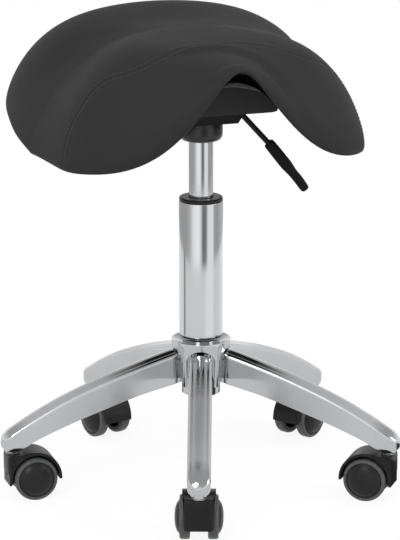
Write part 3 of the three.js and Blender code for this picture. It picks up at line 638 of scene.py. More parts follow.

# %% [markdown]
# ## The cover's finish
# The cover is a matte, slightly textured synthetic leather. Seen close it has a pebbled grain;
# seen from a metre away only a soft sheen tells it from paint. The grain is a bump of small
# cells and the tone wanders a little. The seam's channel is pressed in from one attribute, and
# the base colour is made darker along it: painted shade in the groove. A second attribute marks
# the underside, which is painted near-black with no sheen at all: painted shade for the shadow
# under the padding.

# %% Cover material
cover = Finish("cover_grey", (0.0325, 0.0325, 0.033), Specular_IOR_Level=0.1)
lining = cover.node("Attribute", {"attribute_name": "lining"}, output="Fac")
cells = {"Vector": cover.place(), "Scale": 620.0}
cells = cover.node("TexVoronoi", {"feature": "DISTANCE_TO_EDGE"}, cells, "Distance")
grain = cover.steps(cells, (0.0, 0.0), (0.35, 1.0))
away = cover.node("Attribute", {"attribute_name": "seam"}, output="Fac")
away = {"Value": away, "From Min": 0.0, "From Max": 0.0016, "To Min": 0.0, "To Max": 1.0}
seam_groove_and_shade = cover.node("MapRange", {"interpolation_type": "SMOOTHSTEP"}, away, "Result")
cover.relief(grain * 0.22 + seam_groove_and_shade * 1.4 + cover.noise(240.0, 3.0) * 0.25, 0.0004, 0.55)
cover.polish(0.54, 0.14, 26.0, 4.0)
# The base colour is darker along the seam's groove: painted shade. The noise part is tone that wanders at
# random.
cover.shade(cover.noise(14.0, 4.0) * 0.7 + seam_groove_and_shade * 0.3, 1.12, 0.86)
# The underside gives way to a near-black, sheenless shader: painted shade under the padding.
cover.matte_where(lining, (0.002, 0.002, 0.002))
COVER = cover.material

cushion = piece("saddle_cushion", [patch(cushion_points)], COVER, "seat", ["cushion"])
places = np.empty(len(cushion.data.vertices) * 3, np.float32)
cushion.data.vertices.foreach_get("co", places)
places = places.reshape(-1, 3)
beside, at, _ = from_line(places, seam)
plain = np.interp(np.abs(2 * at - 1), [0.35, 0.6], [0.0012, 0.0])
# 0 on the top skin and 1 on the underside, which is painted near-black as shade.
lining = np.clip(np.arange(len(places)) / AROUND - len(top_share) - 2, 0, 2) / 2
for name, value in (("seam", np.hypot(beside, plain)), ("lining", lining)):
    attribute = cushion.data.attributes.new(name, "FLOAT", "POINT")
    attribute.data.foreach_set("value", value.astype(np.float32))
print("cushion", len(cushion.data.polygons), "faces, box", places.min(0).round(3), places.max(0).round(3))

# %% [markdown]
# ## The seat shell
# The padding sits on a moulded shell that follows the saddle's underside and stops short of the
# rim. It is made from the same formula, offset below the padding, so the two can't cross. A
# skirt stands down from it round the steel plate, and inside that four bosses reach the plate.

# %% Shell, skirt and bosses
SHELL, GAP = 0.007, 0.0003
SHELL_SWEEP = np.pi / 2 * 5 / 8
SHELL_RIM = np.sin(SHELL_SWEEP)


def shell_inside(share, angle):
    """The shell's inner face, whose thickness closes at the shell's rim in a round edge."""
    thin = np.sqrt(np.clip(1 - (share / SHELL_RIM) ** 14, 0, 1))
    return under_skin(share, angle, GAP + SHELL * thin)


shell_share = np.sin(np.linspace(0.004, SHELL_SWEEP, 60))
outer = on_grid(lambda share, angle: under_skin(share, angle, GAP), shell_share, ring_angle[::2])
inner = on_grid(shell_inside, shell_share[::-1], ring_angle[::2])[1:]
shell_patches = [patch(np.concatenate([outer, inner]))]


def over_plan(skin, x, y):
    """The points of a skin that lie over plan points, found by a few of Newton's steps."""
    across, ahead = x / HALF_WIDTH, (SADDLE_CENTRE - y) / HALF_LENGTH
    share, angle, step = np.hypot(across, ahead), np.arctan2(across, ahead), 0.0001
    for _ in range(8):
        here = skin(share, angle)
        by_share = ((skin(share + step, angle) - here) / step).T
        by_angle = ((skin(share, angle + step) - here) / step).T
        off_x, off_y = x - here[..., 0], y - here[..., 1]
        area = by_share[0] * by_angle[1] - by_share[1] * by_angle[0]
        share = share + (off_x * by_angle[1] - off_y * by_angle[0]) / area
        angle = angle + (off_y * by_share[0] - off_x * by_share[1]) / area
    return skin(share, angle)


SKIRT_HALF, SKIRT_FRONT, SKIRT_REAR, SKIRT_CORNER, SKIRT_WALL = 84.0, -37.5, 129.5, 15.0, 3.0


def skirt_outline(inset):
    """The skirt's outline in plan, in metres: a rectangle with round corners, moved in."""
    corner = np.linspace(0.0, np.pi / 2, 10)
    parts = []
    for quarter, (sx, y) in enumerate([(1, SKIRT_REAR), (-1, SKIRT_REAR), (-1, SKIRT_FRONT), (1, SKIRT_FRONT)]):
        turn = corner + quarter * np.pi / 2
        middle = np.array([sx * (SKIRT_HALF - SKIRT_CORNER), y - SKIRT_CORNER * np.sign(y)])
        parts.append(middle + (SKIRT_CORNER - inset) * np.stack([np.cos(turn), np.sin(turn)], -1))
    corners = np.concatenate(parts)
    steps = np.linspace(0.0, 1.0, 5)[None, :, None]
    between = (1 - steps) * corners[:, None] + steps * np.roll(corners, -1, 0)[:, None]
    return between[:, :-1].reshape(-1, 2) * MM


def wall_line(inset, height):
    """The skirt's outline at one height, or up in the shell's thickness where none is given."""
    plan = skirt_outline(inset)
    if height is None:
        middle = lambda share, angle: under_skin(share, angle, GAP + SHELL / 2)
        height = over_plan(middle, *plan.T)[:, 2]
    return np.column_stack([plan, height + 0 * plan[:, 0]])


foot = 0.4415
half_section = [(0.0, None), (0.0, foot + 0.0007), (0.2, foot + 0.0002), (0.8, foot)]
skirt_section = half_section + [(SKIRT_WALL - inset, height) for inset, height in half_section[::-1]]
skirt = np.stack([wall_line(inset, height) for inset, height in skirt_section], 1)
shell_patches.append(closed_patch(skirt))

PLATE_TOP = 447.0
BOLTS = [(-62.0, -14.0), (62.0, -14.0), (62.0, 106.0), (-62.0, 106.0)]


def boss(x, y):
    """A post from just over the plate up into the shell, a little narrower at its foot."""
    foot, head = PLATE_TOP + 0.3, 474.0
    profile = [(3.3, foot), (7.2, foot), (8.0, foot + 1.2), (8.0, head), (3.3, head)]
    return moved(turned(eased(profile, 0.5), 40), x, y)


shell_patches += [closed_patch(boss(x, y)) for x, y in BOLTS]
shell = piece("moulded_shell", shell_patches, SHELL_BLACK, "seat", ["seat_shell"])
print("shell", len(shell.data.polygons), "faces")

# %% Ends of the plate's well
def well_end(y, wall=2.5):
    """A wall across the well: the hat's inner outline, from one face to the other."""
    x, z = eased([(-41.6, 446.9), (-32.0, 432.9), (32.0, 432.9), (41.6, 446.9)], 0.6).T
    return patch(np.stack([np.stack([x, 0 * x + face, z], -1) for face in (y, y + wall)]) * MM)


piece("plate_well_ends", [well_end(-33.8), well_end(123.3)], POWDER, "seat")
print("plate ends made")

# %% [markdown]
# ## The column
# A gas spring slides in a chrome tube that is swaged to a taper at its foot, where the base
# grips it. A black bush closes the tube's mouth, and a black boot covers the joint under the
# seat. All of these are turned, so each is one profile carried round the axis.

# %% Column, bush, cylinder and boot
ring_piece("column", [
    (20.4, 108), (21.4, 165), (21.7, 170), (25, 176), (25.5, 179), (25.5, 336.7), (23.7, 336.7),
    (23.7, 179), (19.6, 170), (18.6, 111), (4.3, 111), (4.3, 108),
], CHROME_DRAWN, "base", ["column_tube"], 0.5)
ring_piece("mouth_bush", [
    (15.3, 341), (24.2, 341), (25.2, 340), (25.2, 337), (23.4, 337), (23.4, 266), (14.3, 266),
    (14.3, 340),
], BUSH_BLACK, "base", ["guide_bush"], 0.5)
ring_piece("spring_cylinder", [
    (5.3, 182), (13, 182), (14, 183), (14, 405), (13.41, 447), (12.4, 448), (4.3, 448),
    (4.3, 418), (12.5, 418), (12.5, 194), (5.3, 194),
], CHROME_DRAWN, "seat", ["gas_cylinder"], 0.4)
ring_piece("boot_cover", [
    (14.3, 407.6), (19.5, 407.6), (22.6, 408.8), (24.5, 412), (25, 416), (25, 430.7), (18.3, 430.7),
    (18.3, 411.3), (14.3, 411.3),
], BOOT_BLACK, "seat", ["boot"], 1.4)
print("column pieces made")

# %% [markdown]
# ## The hub
# The hub is pressed from one sheet: a sleeve that grips the column's taper, a funnel over it,
# and a cup round it with an arched opening for each arm. Round the axis its section is always
# the same loop, except that the cup's lower edge follows the arch, so the whole hub is one grid.

# %% Hub
ARMS = 5
BASE_TURN = -19.6
HUB_RADIUS, CUP_TOP, CUP_FOOT, SHEET = 31.5, 171.2, 119.0, 2.0
SLOT_HALF, SLOT_TOP = 16.5, 164.0
SLOT_EDGE = np.degrees(np.arcsin(SLOT_HALF / HUB_RADIUS))
CUP_RADII = [119.0, 133.3, 148.2, 161.9, 171.2], [30.96, 31.41, 32.23, 33.4, 34.4]
HUB_LIP = [(33.0, 171.85), (33.7, 172.0), (34.2, 171.8)]
HUB_INSIDE = [
    (31.6, 168.5), (30.2, 167.3), (26.0, 164.8), (23.3, 163.2), (22.7, 162.4), (22.5, 161.0),
    (22.5, 107.6), (22.2, 107.0), (21.0, 107.0), (20.72, 107.4), (21.7, 165.0), (22.2, 165.6)]


def arm_angle(k):
    """The plan angle of arm k from +X, in radians."""
    return np.radians(BASE_TURN + 360.0 * k / ARMS - 90.0)


def at_each_angle(pairs):
    """The same points of (radius, height) at every angle."""
    return np.tile(np.array(pairs, float), (len(angles), 1, 1))


# One sector: close together at the slot's edges, where the cup's height jumps
in_slot = SLOT_EDGE * np.sin(np.linspace(-np.pi / 2, np.pi / 2, 31))
between = np.linspace(SLOT_EDGE + 0.12, 360.0 / ARMS - SLOT_EDGE - 0.12, 9)
angles = np.concatenate([np.radians([*in_slot, *between]) + arm_angle(k) for k in range(ARMS)])
sideways = HUB_RADIUS * np.sin(np.radians(in_slot))
arch = SLOT_TOP - SLOT_HALF + np.sqrt(np.clip(SLOT_HALF ** 2 - sideways ** 2, 0, None))
cup_edge = np.tile([*arch, *(CUP_FOOT + 0 * between)], ARMS)[:, None]

cup_height = CUP_TOP + (cup_edge - CUP_TOP) * np.linspace(0.0, 1.0, 14)
cup_outside = np.stack([np.interp(cup_height, *CUP_RADII), cup_height], -1)
cup_inside = cup_outside[:, ::-1] - [SHEET, 0.0]
hub_loop = [at_each_angle(HUB_LIP), cup_outside, cup_inside, at_each_angle(HUB_INSIDE)]
radius, height = np.moveaxis(np.concatenate(hub_loop, 1), -1, 0)
hub_points = around_z(radius, angles[:, None], height) * MM
piece("hub_pressing", [closed_patch(hub_points)], CHROME, "base", ["hub"], 35.0)
print("hub section points", hub_points.shape[1], "angles", hub_points.shape[0])

# %% [markdown]
# ## The arms
# Each arm is a pressed channel, open below: flat sides, a slightly crowned top with rounded
# shoulders, and a nose like the end of a bowl, round from above, from the side and from ahead,
# where the sides draw in below a height given by a table. Its section is a loop that runs over
# the outside and back along the inside, carried from the hub to the nose.

# %% Arm mesh
STEM_REACH, ARM_START, ARM_REACH, ARM_WIDTH, ARM_WALL = 227.8, 18.0, 241.05, 26.5, 2.5
ARM_CROWN, SHOULDER, SLEEVE_RADIUS = 2.6, 5.0, 22.8
NECK_START, NECK_END, NECK_IN = 31.0, 38.0, 2.75
BOWL_START, BOWL_FULL = 205.0, 224.0
NOSE_BOWL = [55.9, 56.3, 57.6, 59.6, 62.5, 66.0], [0.4, 0.53, 0.7, 0.85, 0.95, 1.0]
TOP_LINE = np.array([
    [18, 161.5], [33, 159.2], [57, 152.8], [82, 145.2], [106, 137.4], [130, 128.6], [154, 119.2],
    [178, 108.6], [202, 96.3], [215, 89.2], [227.8, 81.8], [233, 78.6], [237, 75.0],
    [239.8, 71.4], [241.05, 68.6]])
EDGE_LINE = np.array([
    [18, 125.0], [33, 122.7], [56, 117.9], [80, 112.0], [104, 104.7], [128, 96.9], [152, 88.9],
    [176, 80.2], [200, 70.4], [215, 62.6], [227.8, 55.8], [233, 55.9], [237, 58.0],
    [239.8, 62.0], [241.05, 65.6]])


def arm_loop(x, inset):
    """Half-loops of the section at each place x: edge, side, shoulder arc and crowned top."""
    full = ARM_WIDTH / 2 - inset
    beyond = np.clip(x - STEM_REACH, 0, None)
    neck = np.clip((x - NECK_END) / (NECK_START - NECK_END), 0, 1)
    half = np.sqrt(np.clip(full ** 2 - beyond ** 2, 0, None)) - NECK_IN * s_curve(neck)
    top_z = smooth_line(TOP_LINE, x) - inset
    edge_z = smooth_line(EDGE_LINE, x)
    corner = (SHOULDER - inset) * np.minimum(1, half / full)
    turn = np.linspace(0.0, np.pi / 2, 12)[None, :]
    up = 0.96 * np.linspace(0.0, 1.0, 12) ** 1.6
    side_z = edge_z[:, None] + (top_z - corner - edge_z)[:, None] * up
    bowl = np.clip((x - BOWL_START) / (BOWL_FULL - BOWL_START), 0, 1)[:, None]
    side_y = half[:, None] * (1 - s_curve(bowl) * (1 - np.interp(side_z, *NOSE_BOWL)))
    arc_y = (half - corner)[:, None] + corner[:, None] * np.cos(turn)
    arc_z = (top_z - corner)[:, None] + corner[:, None] * np.sin(turn)
    flat = np.linspace(1.0, 0.0, 6)[None, 1:]
    flat_y = (half - corner)[:, None] * flat
    crown = ARM_CROWN * (half / full)[:, None]
    flat_z = top_z[:, None] + crown * (1 - flat ** 2)
    y = np.concatenate([side_y, arc_y, flat_y], 1)
    z = np.concatenate([side_z, arc_z, flat_z], 1)
    return np.concatenate([y, -y[:, -2::-1]], 1), np.concatenate([z, z[:, -2::-1]], 1)


along = np.concatenate([np.linspace(0.0, 0.9, 70), 0.9 + 0.1 * np.sin(np.linspace(0.0, np.pi / 2, 24))[1:]])
outer_x = ARM_START + (ARM_REACH - ARM_START) * along
inner_x = ARM_START + (ARM_REACH - ARM_WALL - ARM_START) * along
outer_y, outer_z = arm_loop(outer_x, 0.0)
inner_y, inner_z = arm_loop(inner_x, ARM_WALL)
inner_z[:, [0, -1]] = outer_z[:, [0, -1]]
loop_x = np.repeat(np.stack([outer_x, inner_x], 1), outer_y.shape[1], 1)
loop_y = np.concatenate([outer_y, inner_y[:, ::-1]], 1)
loop_z = np.concatenate([outer_z, inner_z[:, ::-1]], 1)
sleeve = np.sqrt(np.clip(SLEEVE_RADIUS ** 2 - loop_y ** 2, 0, None))
loop_x = np.maximum(loop_x, sleeve + (loop_x - ARM_START) * 0.02)
arm_points = np.stack([loop_x, loop_y, loop_z], -1) * MM

# The channel's open end at the hub: quads between its outer and inner half-loops
half_loop = outer_y.shape[1]
arm_end = np.stack([arm_points[0, :half_loop], arm_points[0, half_loop:][::-1]])
socket = moved(bushing(5.3, 8.5, 55.8, 72.4), STEM_REACH)
for k in range(ARMS):
    turn = arm_angle(k)
    pressing = [patch(about_z(arm_points, turn), True, False),
                patch(about_z(arm_end, turn), False, False), closed_patch(about_z(socket, turn))]
    node = f"arm_{k + 1}"
    piece(node + "_pressing", pressing, CHROME_SATIN, "base", [node], 35.0)
print("arm grid", arm_points.shape[:2])

# %% [markdown]
# ## The castors
# A twin-wheel castor has a hood that arches over both wheels from a web between them. The stem
# turns in the web, outboard of the axle, so the wheels trail. The hood's roof is a loop carried
# along its arc; wheels and stems are turned.

# %% Castor parts
WHEEL, TRAIL, WEB_HALF = 25.0, 23.5, 4.5
HOOD_OUT, HOOD_IN, HOOD_HALF, HOOD_ROUND, HOOD_EDGE = 31.0, 28.0, 18.8, 13.1, 0.75
HOOD_FIRST, HOOD_LAST, CIRCLE_FROM = np.radians([-13.0, 184.0, 92.0])
HOOD_FRONT = eased([
    (12.5, 54.2), (30.69, 54.2), (31.93, 46.9), (31.93, 36.68), (30.07, 26.46), (30.2, 18.03),
], 2.5, closed=False)


def hood_reach(angle):
    """How far the hood's outline is from the wheel's centre at an angle from +X: a circle over
    the wheels' back and crown, and the straight lines of HOOD_FRONT over their front."""
    fine = np.linspace(0.0, 1.0, 12)[:, None, None]
    line = (HOOD_FRONT[:-1] * (1 - fine) + HOOD_FRONT[1:] * fine).swapaxes(0, 1).reshape(-1, 2) - [0.0, WHEEL]
    line_angle = np.arctan2(line[:, 1], line[:, 0])
    line_angle = np.concatenate([[CIRCLE_FROM], line_angle])[::-1]
    reach = np.concatenate([[HOOD_OUT], np.hypot(line[:, 0], line[:, 1])])[::-1]
    return np.interp(angle, line_angle, reach)


def hood_section():
    """A rounded rectangle as columns: place across, 1 outside or 0 inside, and rounding."""
    corner, half = np.linspace(0.0, np.pi / 2, 5), HOOD_HALF - HOOD_EDGE
    between = half * np.sin(np.linspace(np.pi / 2, -np.pi / 2, 15))[1:-1]
    arcs = []
    for side, outside, quarter in ((1, 1, 0), (-1, 1, 1), (-1, 0, 2), (1, 0, 3)):
        turn = corner + quarter * np.pi / 2
        across = side * half + HOOD_EDGE * np.cos(turn)
        arcs.append(np.stack([across, np.full(5, outside), np.sin(turn)], -1))
    flat = np.ones(len(between))
    outer_face = np.stack([between, flat, flat], -1)
    inner_face = np.stack([between[::-1], 0 * flat, -flat], -1)
    return np.concatenate([arcs[0], outer_face, arcs[1], arcs[2], inner_face, arcs[3]])


section = hood_section()[None]
front = HOOD_ROUND + HOOD_HALF * np.clip(1 - (section[..., 0] / HOOD_HALF) ** 4, 0, None) ** 0.25
first = np.where(front < HOOD_IN, np.arccos(np.clip(front / HOOD_IN, 0, 1)), HOOD_FIRST)
angle = first + (HOOD_LAST - first) * np.linspace(0.0, 1.0, 90)[:, None]
ahead = np.clip(np.cos(angle), 0.02, None)
reach = np.clip(np.minimum(hood_reach(angle), front / ahead), HOOD_IN + 0.02, None)
ease = np.minimum(HOOD_EDGE, 0.45 * (reach - HOOD_IN))
level = HOOD_IN + np.where(section[..., 1] > 0, reach - HOOD_IN - ease, ease) + ease * section[..., 2]
roof_y = np.broadcast_to(section[..., 0], level.shape)
roof_points = np.stack([level * np.cos(angle), roof_y, WHEEL + level * np.sin(angle)], -1) * MM


def wheel_arc(radius, first, last):
    """Points (x, z) on an arc about the wheel's centre, between two angles in degrees."""
    turn = np.radians(np.linspace(first, last, 60))
    return np.stack([radius * np.cos(turn), WHEEL + radius * np.sin(turn)], -1)


web_top, web_low = wheel_arc(28.8, -12.5, 183.5), wheel_arc(8.6, -62.0, -160.0)
mix = np.linspace(0.0, 1.0, 8)[None, :, None]
web_face = web_low[:, None] * (1 - mix) + web_top[:, None] * mix
left = np.insert(web_face, 1, WEB_HALF, -1)
right = left[:, ::-1] * [1.0, -1.0, 1.0]
web_points = np.concatenate([left, right], 1) * MM

housing = moved(bushing(5.3, 8.0, 28.0, 46.0), TRAIL)
hub_boss = bushing(3.3, 8.4, -5.2, 5.2)


def laid(points, side=1.0):
    """A piece turned about Z laid over, so that its outer face looks along +Y or -Y."""
    x, y, z = points[..., 0], points[..., 1], points[..., 2]
    return np.stack([x * side, z * side, WHEEL * MM + y], -1)


disc_profile = eased([
    (3.3, 23.6), (3.3, 10.3), (7.0, 10.3), (18.4, 17.5), (18.4, 10.3), (20.6, 10.3), (20.6, 21.0),
    (19.9, 21.6), (19.2, 21.7), (18.7, 22.3), (15.25, 24.8), (10.5, 26.4), (5.5, 27.1), (2.4, 27.25)], 0.35)
disc_profile = np.concatenate([[(0.0, 23.6)], disc_profile, [(0.0, 27.3)]])
tread_profile = eased([
    (20.9, 10.0), (23.2, 10.0), (24.6, 11.0), (25.0, 12.6), (25.0, 19.0), (24.6, 20.6), (23.2, 21.7),
    (20.9, 21.7)], 0.8)
disc = spun(disc_profile, 64)
tyre = turned(tread_profile, 80)
stem_profile = [
    (0, 31), (4, 31), (5, 32), (5, 54.5), (8.5, 54.5), (8.5, 55.5), (5, 55.5), (5, 73), (4, 74), (0, 74)]
stem = moved(spun(eased(stem_profile, 0.3, closed=False), 40), STEM_REACH)


def castor_part(points, turn, ring=False):
    """A part of a castor in its place on the arm at this angle, closed by caps or as a ring."""
    there = about_z(moved(points, STEM_REACH - TRAIL), turn)
    return closed_patch(there) if ring else patch(there)


for k in range(ARMS):
    turn, number, node = arm_angle(k), k + 1, f"caster_{k + 1}"
    hood = [castor_part(roof_points, turn), castor_part(web_points, turn),
            castor_part(housing, turn, True), castor_part(laid(hub_boss), turn, True)]
    piece(f"hood_{number}", hood, HOOD_BLACK, node, [node + "_hood"], 35.0)
    piece(f"stem_{number}", [patch(about_z(stem, turn))], ZINC, "base", [node + "_stem"])
    for side, sign in (("left", 1.0), ("right", -1.0)):
        wheel = f"wheel_{number}_{side}"
        piece(f"disc_{number}_{side}", [castor_part(laid(disc, sign), turn)], DISC_BLACK, wheel,
              [f"{node}_disc_{side}"], 30.0)
        piece(f"tread_{number}_{side}", [castor_part(laid(tyre, sign), turn, True)], TREAD, wheel,
              [f"{node}_tread_{side}"])
print("castors made", ARMS)

# %% [markdown]
# ## The height lever
# A steel rod comes out beside the boot and slopes down to a flat plastic grip. The rod is a
# circle carried along a path. The grip is a row of flattened ovals whose width and thickness
# change along it, with a bend half way.

# %% Lever
PIVOT_X, PIVOT_Z, SPAN = 20.0, 456.55, 120.0
ROD_RADIUS = 3.25
SIDE = np.array([0.0, 1.0, 0.0])
ROD_SHARES = np.array([
    [-0.075, 0], [0.2, 0], [0.235, -0.012], [0.28, -0.045], [0.33, -0.099], [0.418, -0.196], [0.55, -0.341],
    [0.68, -0.484], [0.79, -0.605]])
GRIP_SHARES = np.array([
    [0.684, -0.49, 0.085, 0.07], [0.692, -0.498, 0.104, 0.085], [0.72, -0.531, 0.108, 0.087],
    [0.8, -0.631, 0.112, 0.085], [0.86, -0.706, 0.112, 0.082], [0.905, -0.762, 0.1, 0.078],
    [0.94, -0.806, 0.09, 0.075], [0.994, -0.871, 0.09, 0.072], [1.045, -0.942, 0.088, 0.07],
    [1.066, -0.971, 0.078, 0.062], [1.072, -0.98, 0.06, 0.05]])


def swept(line, count, half_width, half_thick, power=1.0):
    """Ovals carried along a path in the plane y = 0. Below 1 the power makes them squarer."""
    path = np.stack([line[:, 0], 0 * line[:, 0], line[:, 1] + PIVOT_Z], -1)
    beside = np.cross(unit(np.gradient(path, axis=0)), SIDE)[:, None]
    turn = full_turn(count)[None, :, None]
    cos, sin = (np.sign(v) * np.abs(v) ** power for v in (np.cos(turn), np.sin(turn)))
    return patch((path[:, None] + half_width * cos * beside + half_thick * sin * SIDE) * MM)


rod_line = through_points(ROD_SHARES, 70) * SPAN
pin = laid(spun(eased([(0, -13), (2.5, -13), (2.5, 13), (0, 13)], 0.3, closed=False), 24))
pin = moved(pin, PIVOT_X, 0.0, PIVOT_Z - WHEEL)
bar = [swept(rod_line, 20, ROD_RADIUS, ROD_RADIUS), patch(pin)]
piece("lever_bar", bar, POWDER, "lever", ["lever_rod"])

grip_line = through_points(GRIP_SHARES, 60) * SPAN
half_width, half_thick = grip_line.T[2:, :, None, None] / 2
grip = swept(grip_line, 48, half_width, half_thick, 0.7)
piece("lever_grip", [grip], GRIP_BLACK, "lever", ["lever_paddle"])
print("lever made")

# %% [markdown]
# ## The stitches
# Two rows of thread hold the seam, one on each side of it. Each stitch is a small capsule whose
# ends sink into the cover. A row is the seam's line moved sideways on the skin, and the same
# formula gives its points as gives the cushion's, so the stitches lie on the surface.

# %% Stitch rows
thread = Finish("seam_thread", (0.05, 0.05, 0.052), Roughness=0.6)
thread.shade(thread.noise(900.0, 2.0), 1.3, 0.75)
thread.relief(thread.noise(2600.0, 2.0, (0.3, 1.0, 1.0)), 0.00008, 0.5)

STITCH, STITCH_GAP, THREAD, STITCH_OFFSET = 0.0036, 0.0012, 0.00042, 0.0035
STITCH_RISE, LAST_SHARE = 0.00022, 0.985


def beside_seam(offset):
    """A row at a distance beside the seam: the step in share and angle whose move on the skin
    comes nearest to that distance across the line, by least squares."""
    points, along, across, share, angle = seam
    step = 0.0001
    by_share = (top_skin(share + step, angle) - points) / step
    by_angle = (top_skin(share, angle + step) - points) / step
    aa, ab, bb = ((p * q).sum(1) for p, q in ((by_share, by_share), (by_share, by_angle), (by_angle, by_angle)))
    a, b = ((p * across).sum(1) * offset for p in (by_share, by_angle))
    area = aa * bb - ab ** 2
    share, angle = share + (a * bb - b * ab) / area, angle + (b * aa - a * ab) / area
    keep = share < LAST_SHARE
    return cover_skin(share[keep], angle[keep]), saddle_normal(share[keep], angle[keep])


stitches = []
t = np.linspace(0.0, 1.0, 7)
around = full_turn(6)[None, None, :, None]
swell = np.sqrt(np.clip(1 - (2 * t - 1) ** 4, 0.02, 1))[None, :, None, None]
arch_up = (STITCH_RISE * (1 - (2 * t - 1) ** 2))[None, :, None]
for offset in (-STITCH_OFFSET, STITCH_OFFSET):
    row, normal = beside_seam(offset)
    length = run_length(row)
    starts = np.arange(0.002, length[-1] - STITCH, STITCH + STITCH_GAP)
    at = starts[:, None] + STITCH * t
    line, upward = (np.stack([np.interp(at, length, c) for c in v.T], -1) for v in (row, normal))
    aside = unit(np.cross(line[:, -1:] - line[:, :1], upward))
    line = line + arch_up * upward
    outward = np.cos(around) * aside[:, :, None] + np.sin(around) * upward[:, :, None]
    tube = line[:, :, None] + THREAD * swell * outward
    stitches += [patch(one) for one in tube]
piece("seam_stitches", stitches, thread.material, "seat")
print("stitches", len(stitches))

# %% [markdown]
# ## Pieces that keep their CAD shape
# The steel plate, its bolts, the taper socket and the pieces inside the column are already the
# right shape. They only get a finish, by filling the material slot of their node.

# %% Finishes for the CAD nodes
plain_nodes = {
    "seat_plate": POWDER, "taper_socket": STEEL, "thrust_washer": STEEL, "piston_rod": CHROME_DRAWN,
    "retaining_clip": ZINC, "bumper": RUBBER_BLACK, "release_button": STEEL,
}
plain_nodes.update({f"plate_bolt_{k}": POWDER for k in range(1, 5)})
plain_nodes.update({f"caster_{k}_axle": STEEL for k in range(1, ARMS + 1)})
for name, material in plain_nodes.items():
    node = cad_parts[name]
    node.data.materials.clear()
    node.data.materials.append(material)
print("dressed", len(plain_nodes), "CAD nodes")

# %% [markdown]
# ## Floor, backdrop and light
# A product photograph on white has a lit floor that melts into the background. Light Path tells
# a shader what kind of ray looks at it. The world and the floor are white to the camera, and
# dimmer as a light, so that colours come out about as written. The floor still has a matte part
# that takes the stool's shadow. Two soft boxes shape the form.
# Chrome shows nothing of its own. An upright tube, seen from above, mirrors the floor about a
# metre away: each strip of the tube shows another direction on the floor. So for reflections
# alone the floor is painted in sectors round the stool, as soft boxes and dark cards would do
# in a studio, and the world grows darker towards the ceiling.

# %% Light
def area(name, place, target, size, power):
    """A soft box that looks at a target."""
    data = bpy.data.lights.new(name, "AREA")
    data.shape = "RECTANGLE"
    data.size, data.size_y = size
    data.energy = power
    lamp = linked(name, data)
    lamp.location = place
    away = np.array(place) - np.array(target)
    yaw = np.arctan2(away[0], -away[1])
    pitch = np.arctan2(np.hypot(away[0], away[1]), away[2])
    lamp.rotation_euler = (pitch, 0.0, yaw)


area("key_box", (-2.2, -2.4, 2.6), (0.0, 0.0, 0.35), (1.6, 1.6), 40.0)
area("fill_box", (2.6, -1.6, 1.6), (0.0, 0.0, 0.3), (1.4, 2.0), 20.0)

AMBIENT = 0.74
WHITE = (1.0, 1.0, 1.0, 1.0)
world = bpy.data.worlds.new("studio")
bpy.context.scene.world = world
world.use_nodes = True
world.node_tree.nodes.clear()
sky = Graph(world.node_tree)
height = sky.node("SeparateXYZ", {}, {"Vector": sky.node("TexCoord", output="Generated")}, "Z")
ceiling = sky.steps(height, (0.0, 1.0), (0.2, 0.95), (0.55, 0.5), (1.0, 0.42))
level = AMBIENT + (1 - AMBIENT) * sky.rays("Camera", "Transmission")
level = level + (ceiling - AMBIENT) * sky.rays("Glossy")
backdrop = sky.node("Background", {}, {"Color": WHITE, "Strength": level})
sky.node("OutputWorld", {}, {"Surface": backdrop})
print("lamps and world set")

# %% Floor
REACH = 6.0
floor_mesh = bpy.data.meshes.new("floor")
floor_corners = [(-REACH, -REACH, 0), (REACH, -REACH, 0), (REACH, REACH, 0), (-REACH, REACH, 0)]
floor_mesh.from_pydata(floor_corners, [], [(0, 1, 2, 3)])
linked("floor", floor_mesh)

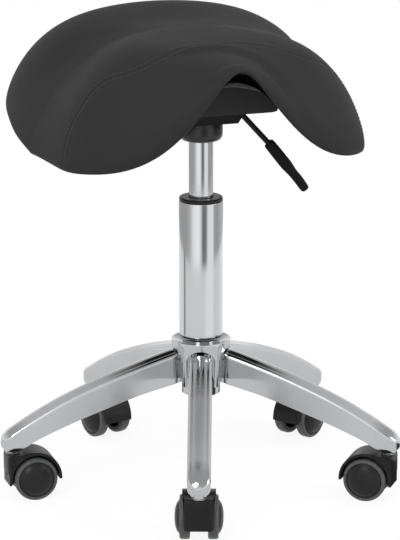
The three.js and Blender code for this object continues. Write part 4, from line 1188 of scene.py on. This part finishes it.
FLOOR_GLOW, FLOOR_BOUNCE, FLOOR_UNLIT = 1.07, 0.5, 0.84
SLEEVE_RING, ROD_RING, STRONGEST = 0.55, 1.36, 1.3
HUB_STRIPES = [(-180, 0.78), (70, 0.78), (77, 0.05), (98, 0.05), (104, 0.78), (180, 0.78)]
SLEEVE_STRIPES = [(-180, 1.0), (-112, 0.95), (-101, 0.88), (-97, 0.32), (-90, 0.32), (-86, 0.86), (-40, 0.9),
                  (16, 0.9), (30, 1.06), (60, 1.06), (76, 0.86), (108, 0.92), (140, 1.08), (180, 1.0)]
ROD_STRIPES = [(-180, 0.5), (-110, 0.46), (-76, 0.48), (-60, 0.6), (-38, 1.1), (-14, 1.25), (0, 0.9), (9, 0.22),
               (25, 0.24), (38, 1.05), (62, 1.1), (74, 0.46), (98, 0.46), (120, 0.62), (180, 0.55)]
FORWARD = VIEW_TURN - np.pi / 2
floor_paint = bpy.data.materials.new("pale_floor")
floor_paint.use_nodes = True
floor_paint.node_tree.nodes.clear()
ground = Graph(floor_paint.node_tree)
spot = ground.node("TexCoord", output="Object")
x, y = (ground.node("SeparateXYZ", {}, {"Vector": spot}, axis) for axis in "XY")
ahead = x * np.cos(FORWARD) + y * np.sin(FORWARD)
aside = x * np.cos(VIEW_TURN) + y * np.sin(VIEW_TURN)
sector = aside.maths("ARCTAN2", ahead) / (2 * np.pi) + 0.5
far = (x * x + y * y) ** 0.5


def stripes(table):
    """The floor's level by direction: (degrees right of the camera, level) as ramp stops."""
    stops = ((turn / 360 + 0.5, tone / STRONGEST) for turn, tone in table)
    return ground.steps(sector, *stops) * STRONGEST


def glow(strength):
    """A surface that shines by itself."""
    return ground.node("Emission", {}, {"Color": WHITE, "Strength": strength})


mirrored = stripes(HUB_STRIPES)
mirrored = mirrored + (stripes(SLEEVE_STRIPES) - mirrored) * far.maths("GREATER_THAN", SLEEVE_RING)
mirrored = mirrored + (stripes(ROD_STRIPES) - mirrored) * far.maths("GREATER_THAN", ROD_RING)
matte = ground.node("BsdfDiffuse", {}, {"Color": (0.8, 0.8, 0.8, 1.0)})
seen = ground.blend(FLOOR_UNLIT, matte, glow(FLOOR_GLOW))
shown = ground.blend(ground.rays("Camera", "Transmission"), glow(FLOOR_BOUNCE), seen)
both = ground.blend(ground.rays("Glossy"), shown, glow(mirrored))
ground.node("OutputMaterial", {}, {"Surface": both})
floor_mesh.materials.append(floor_paint)
print("floor laid")
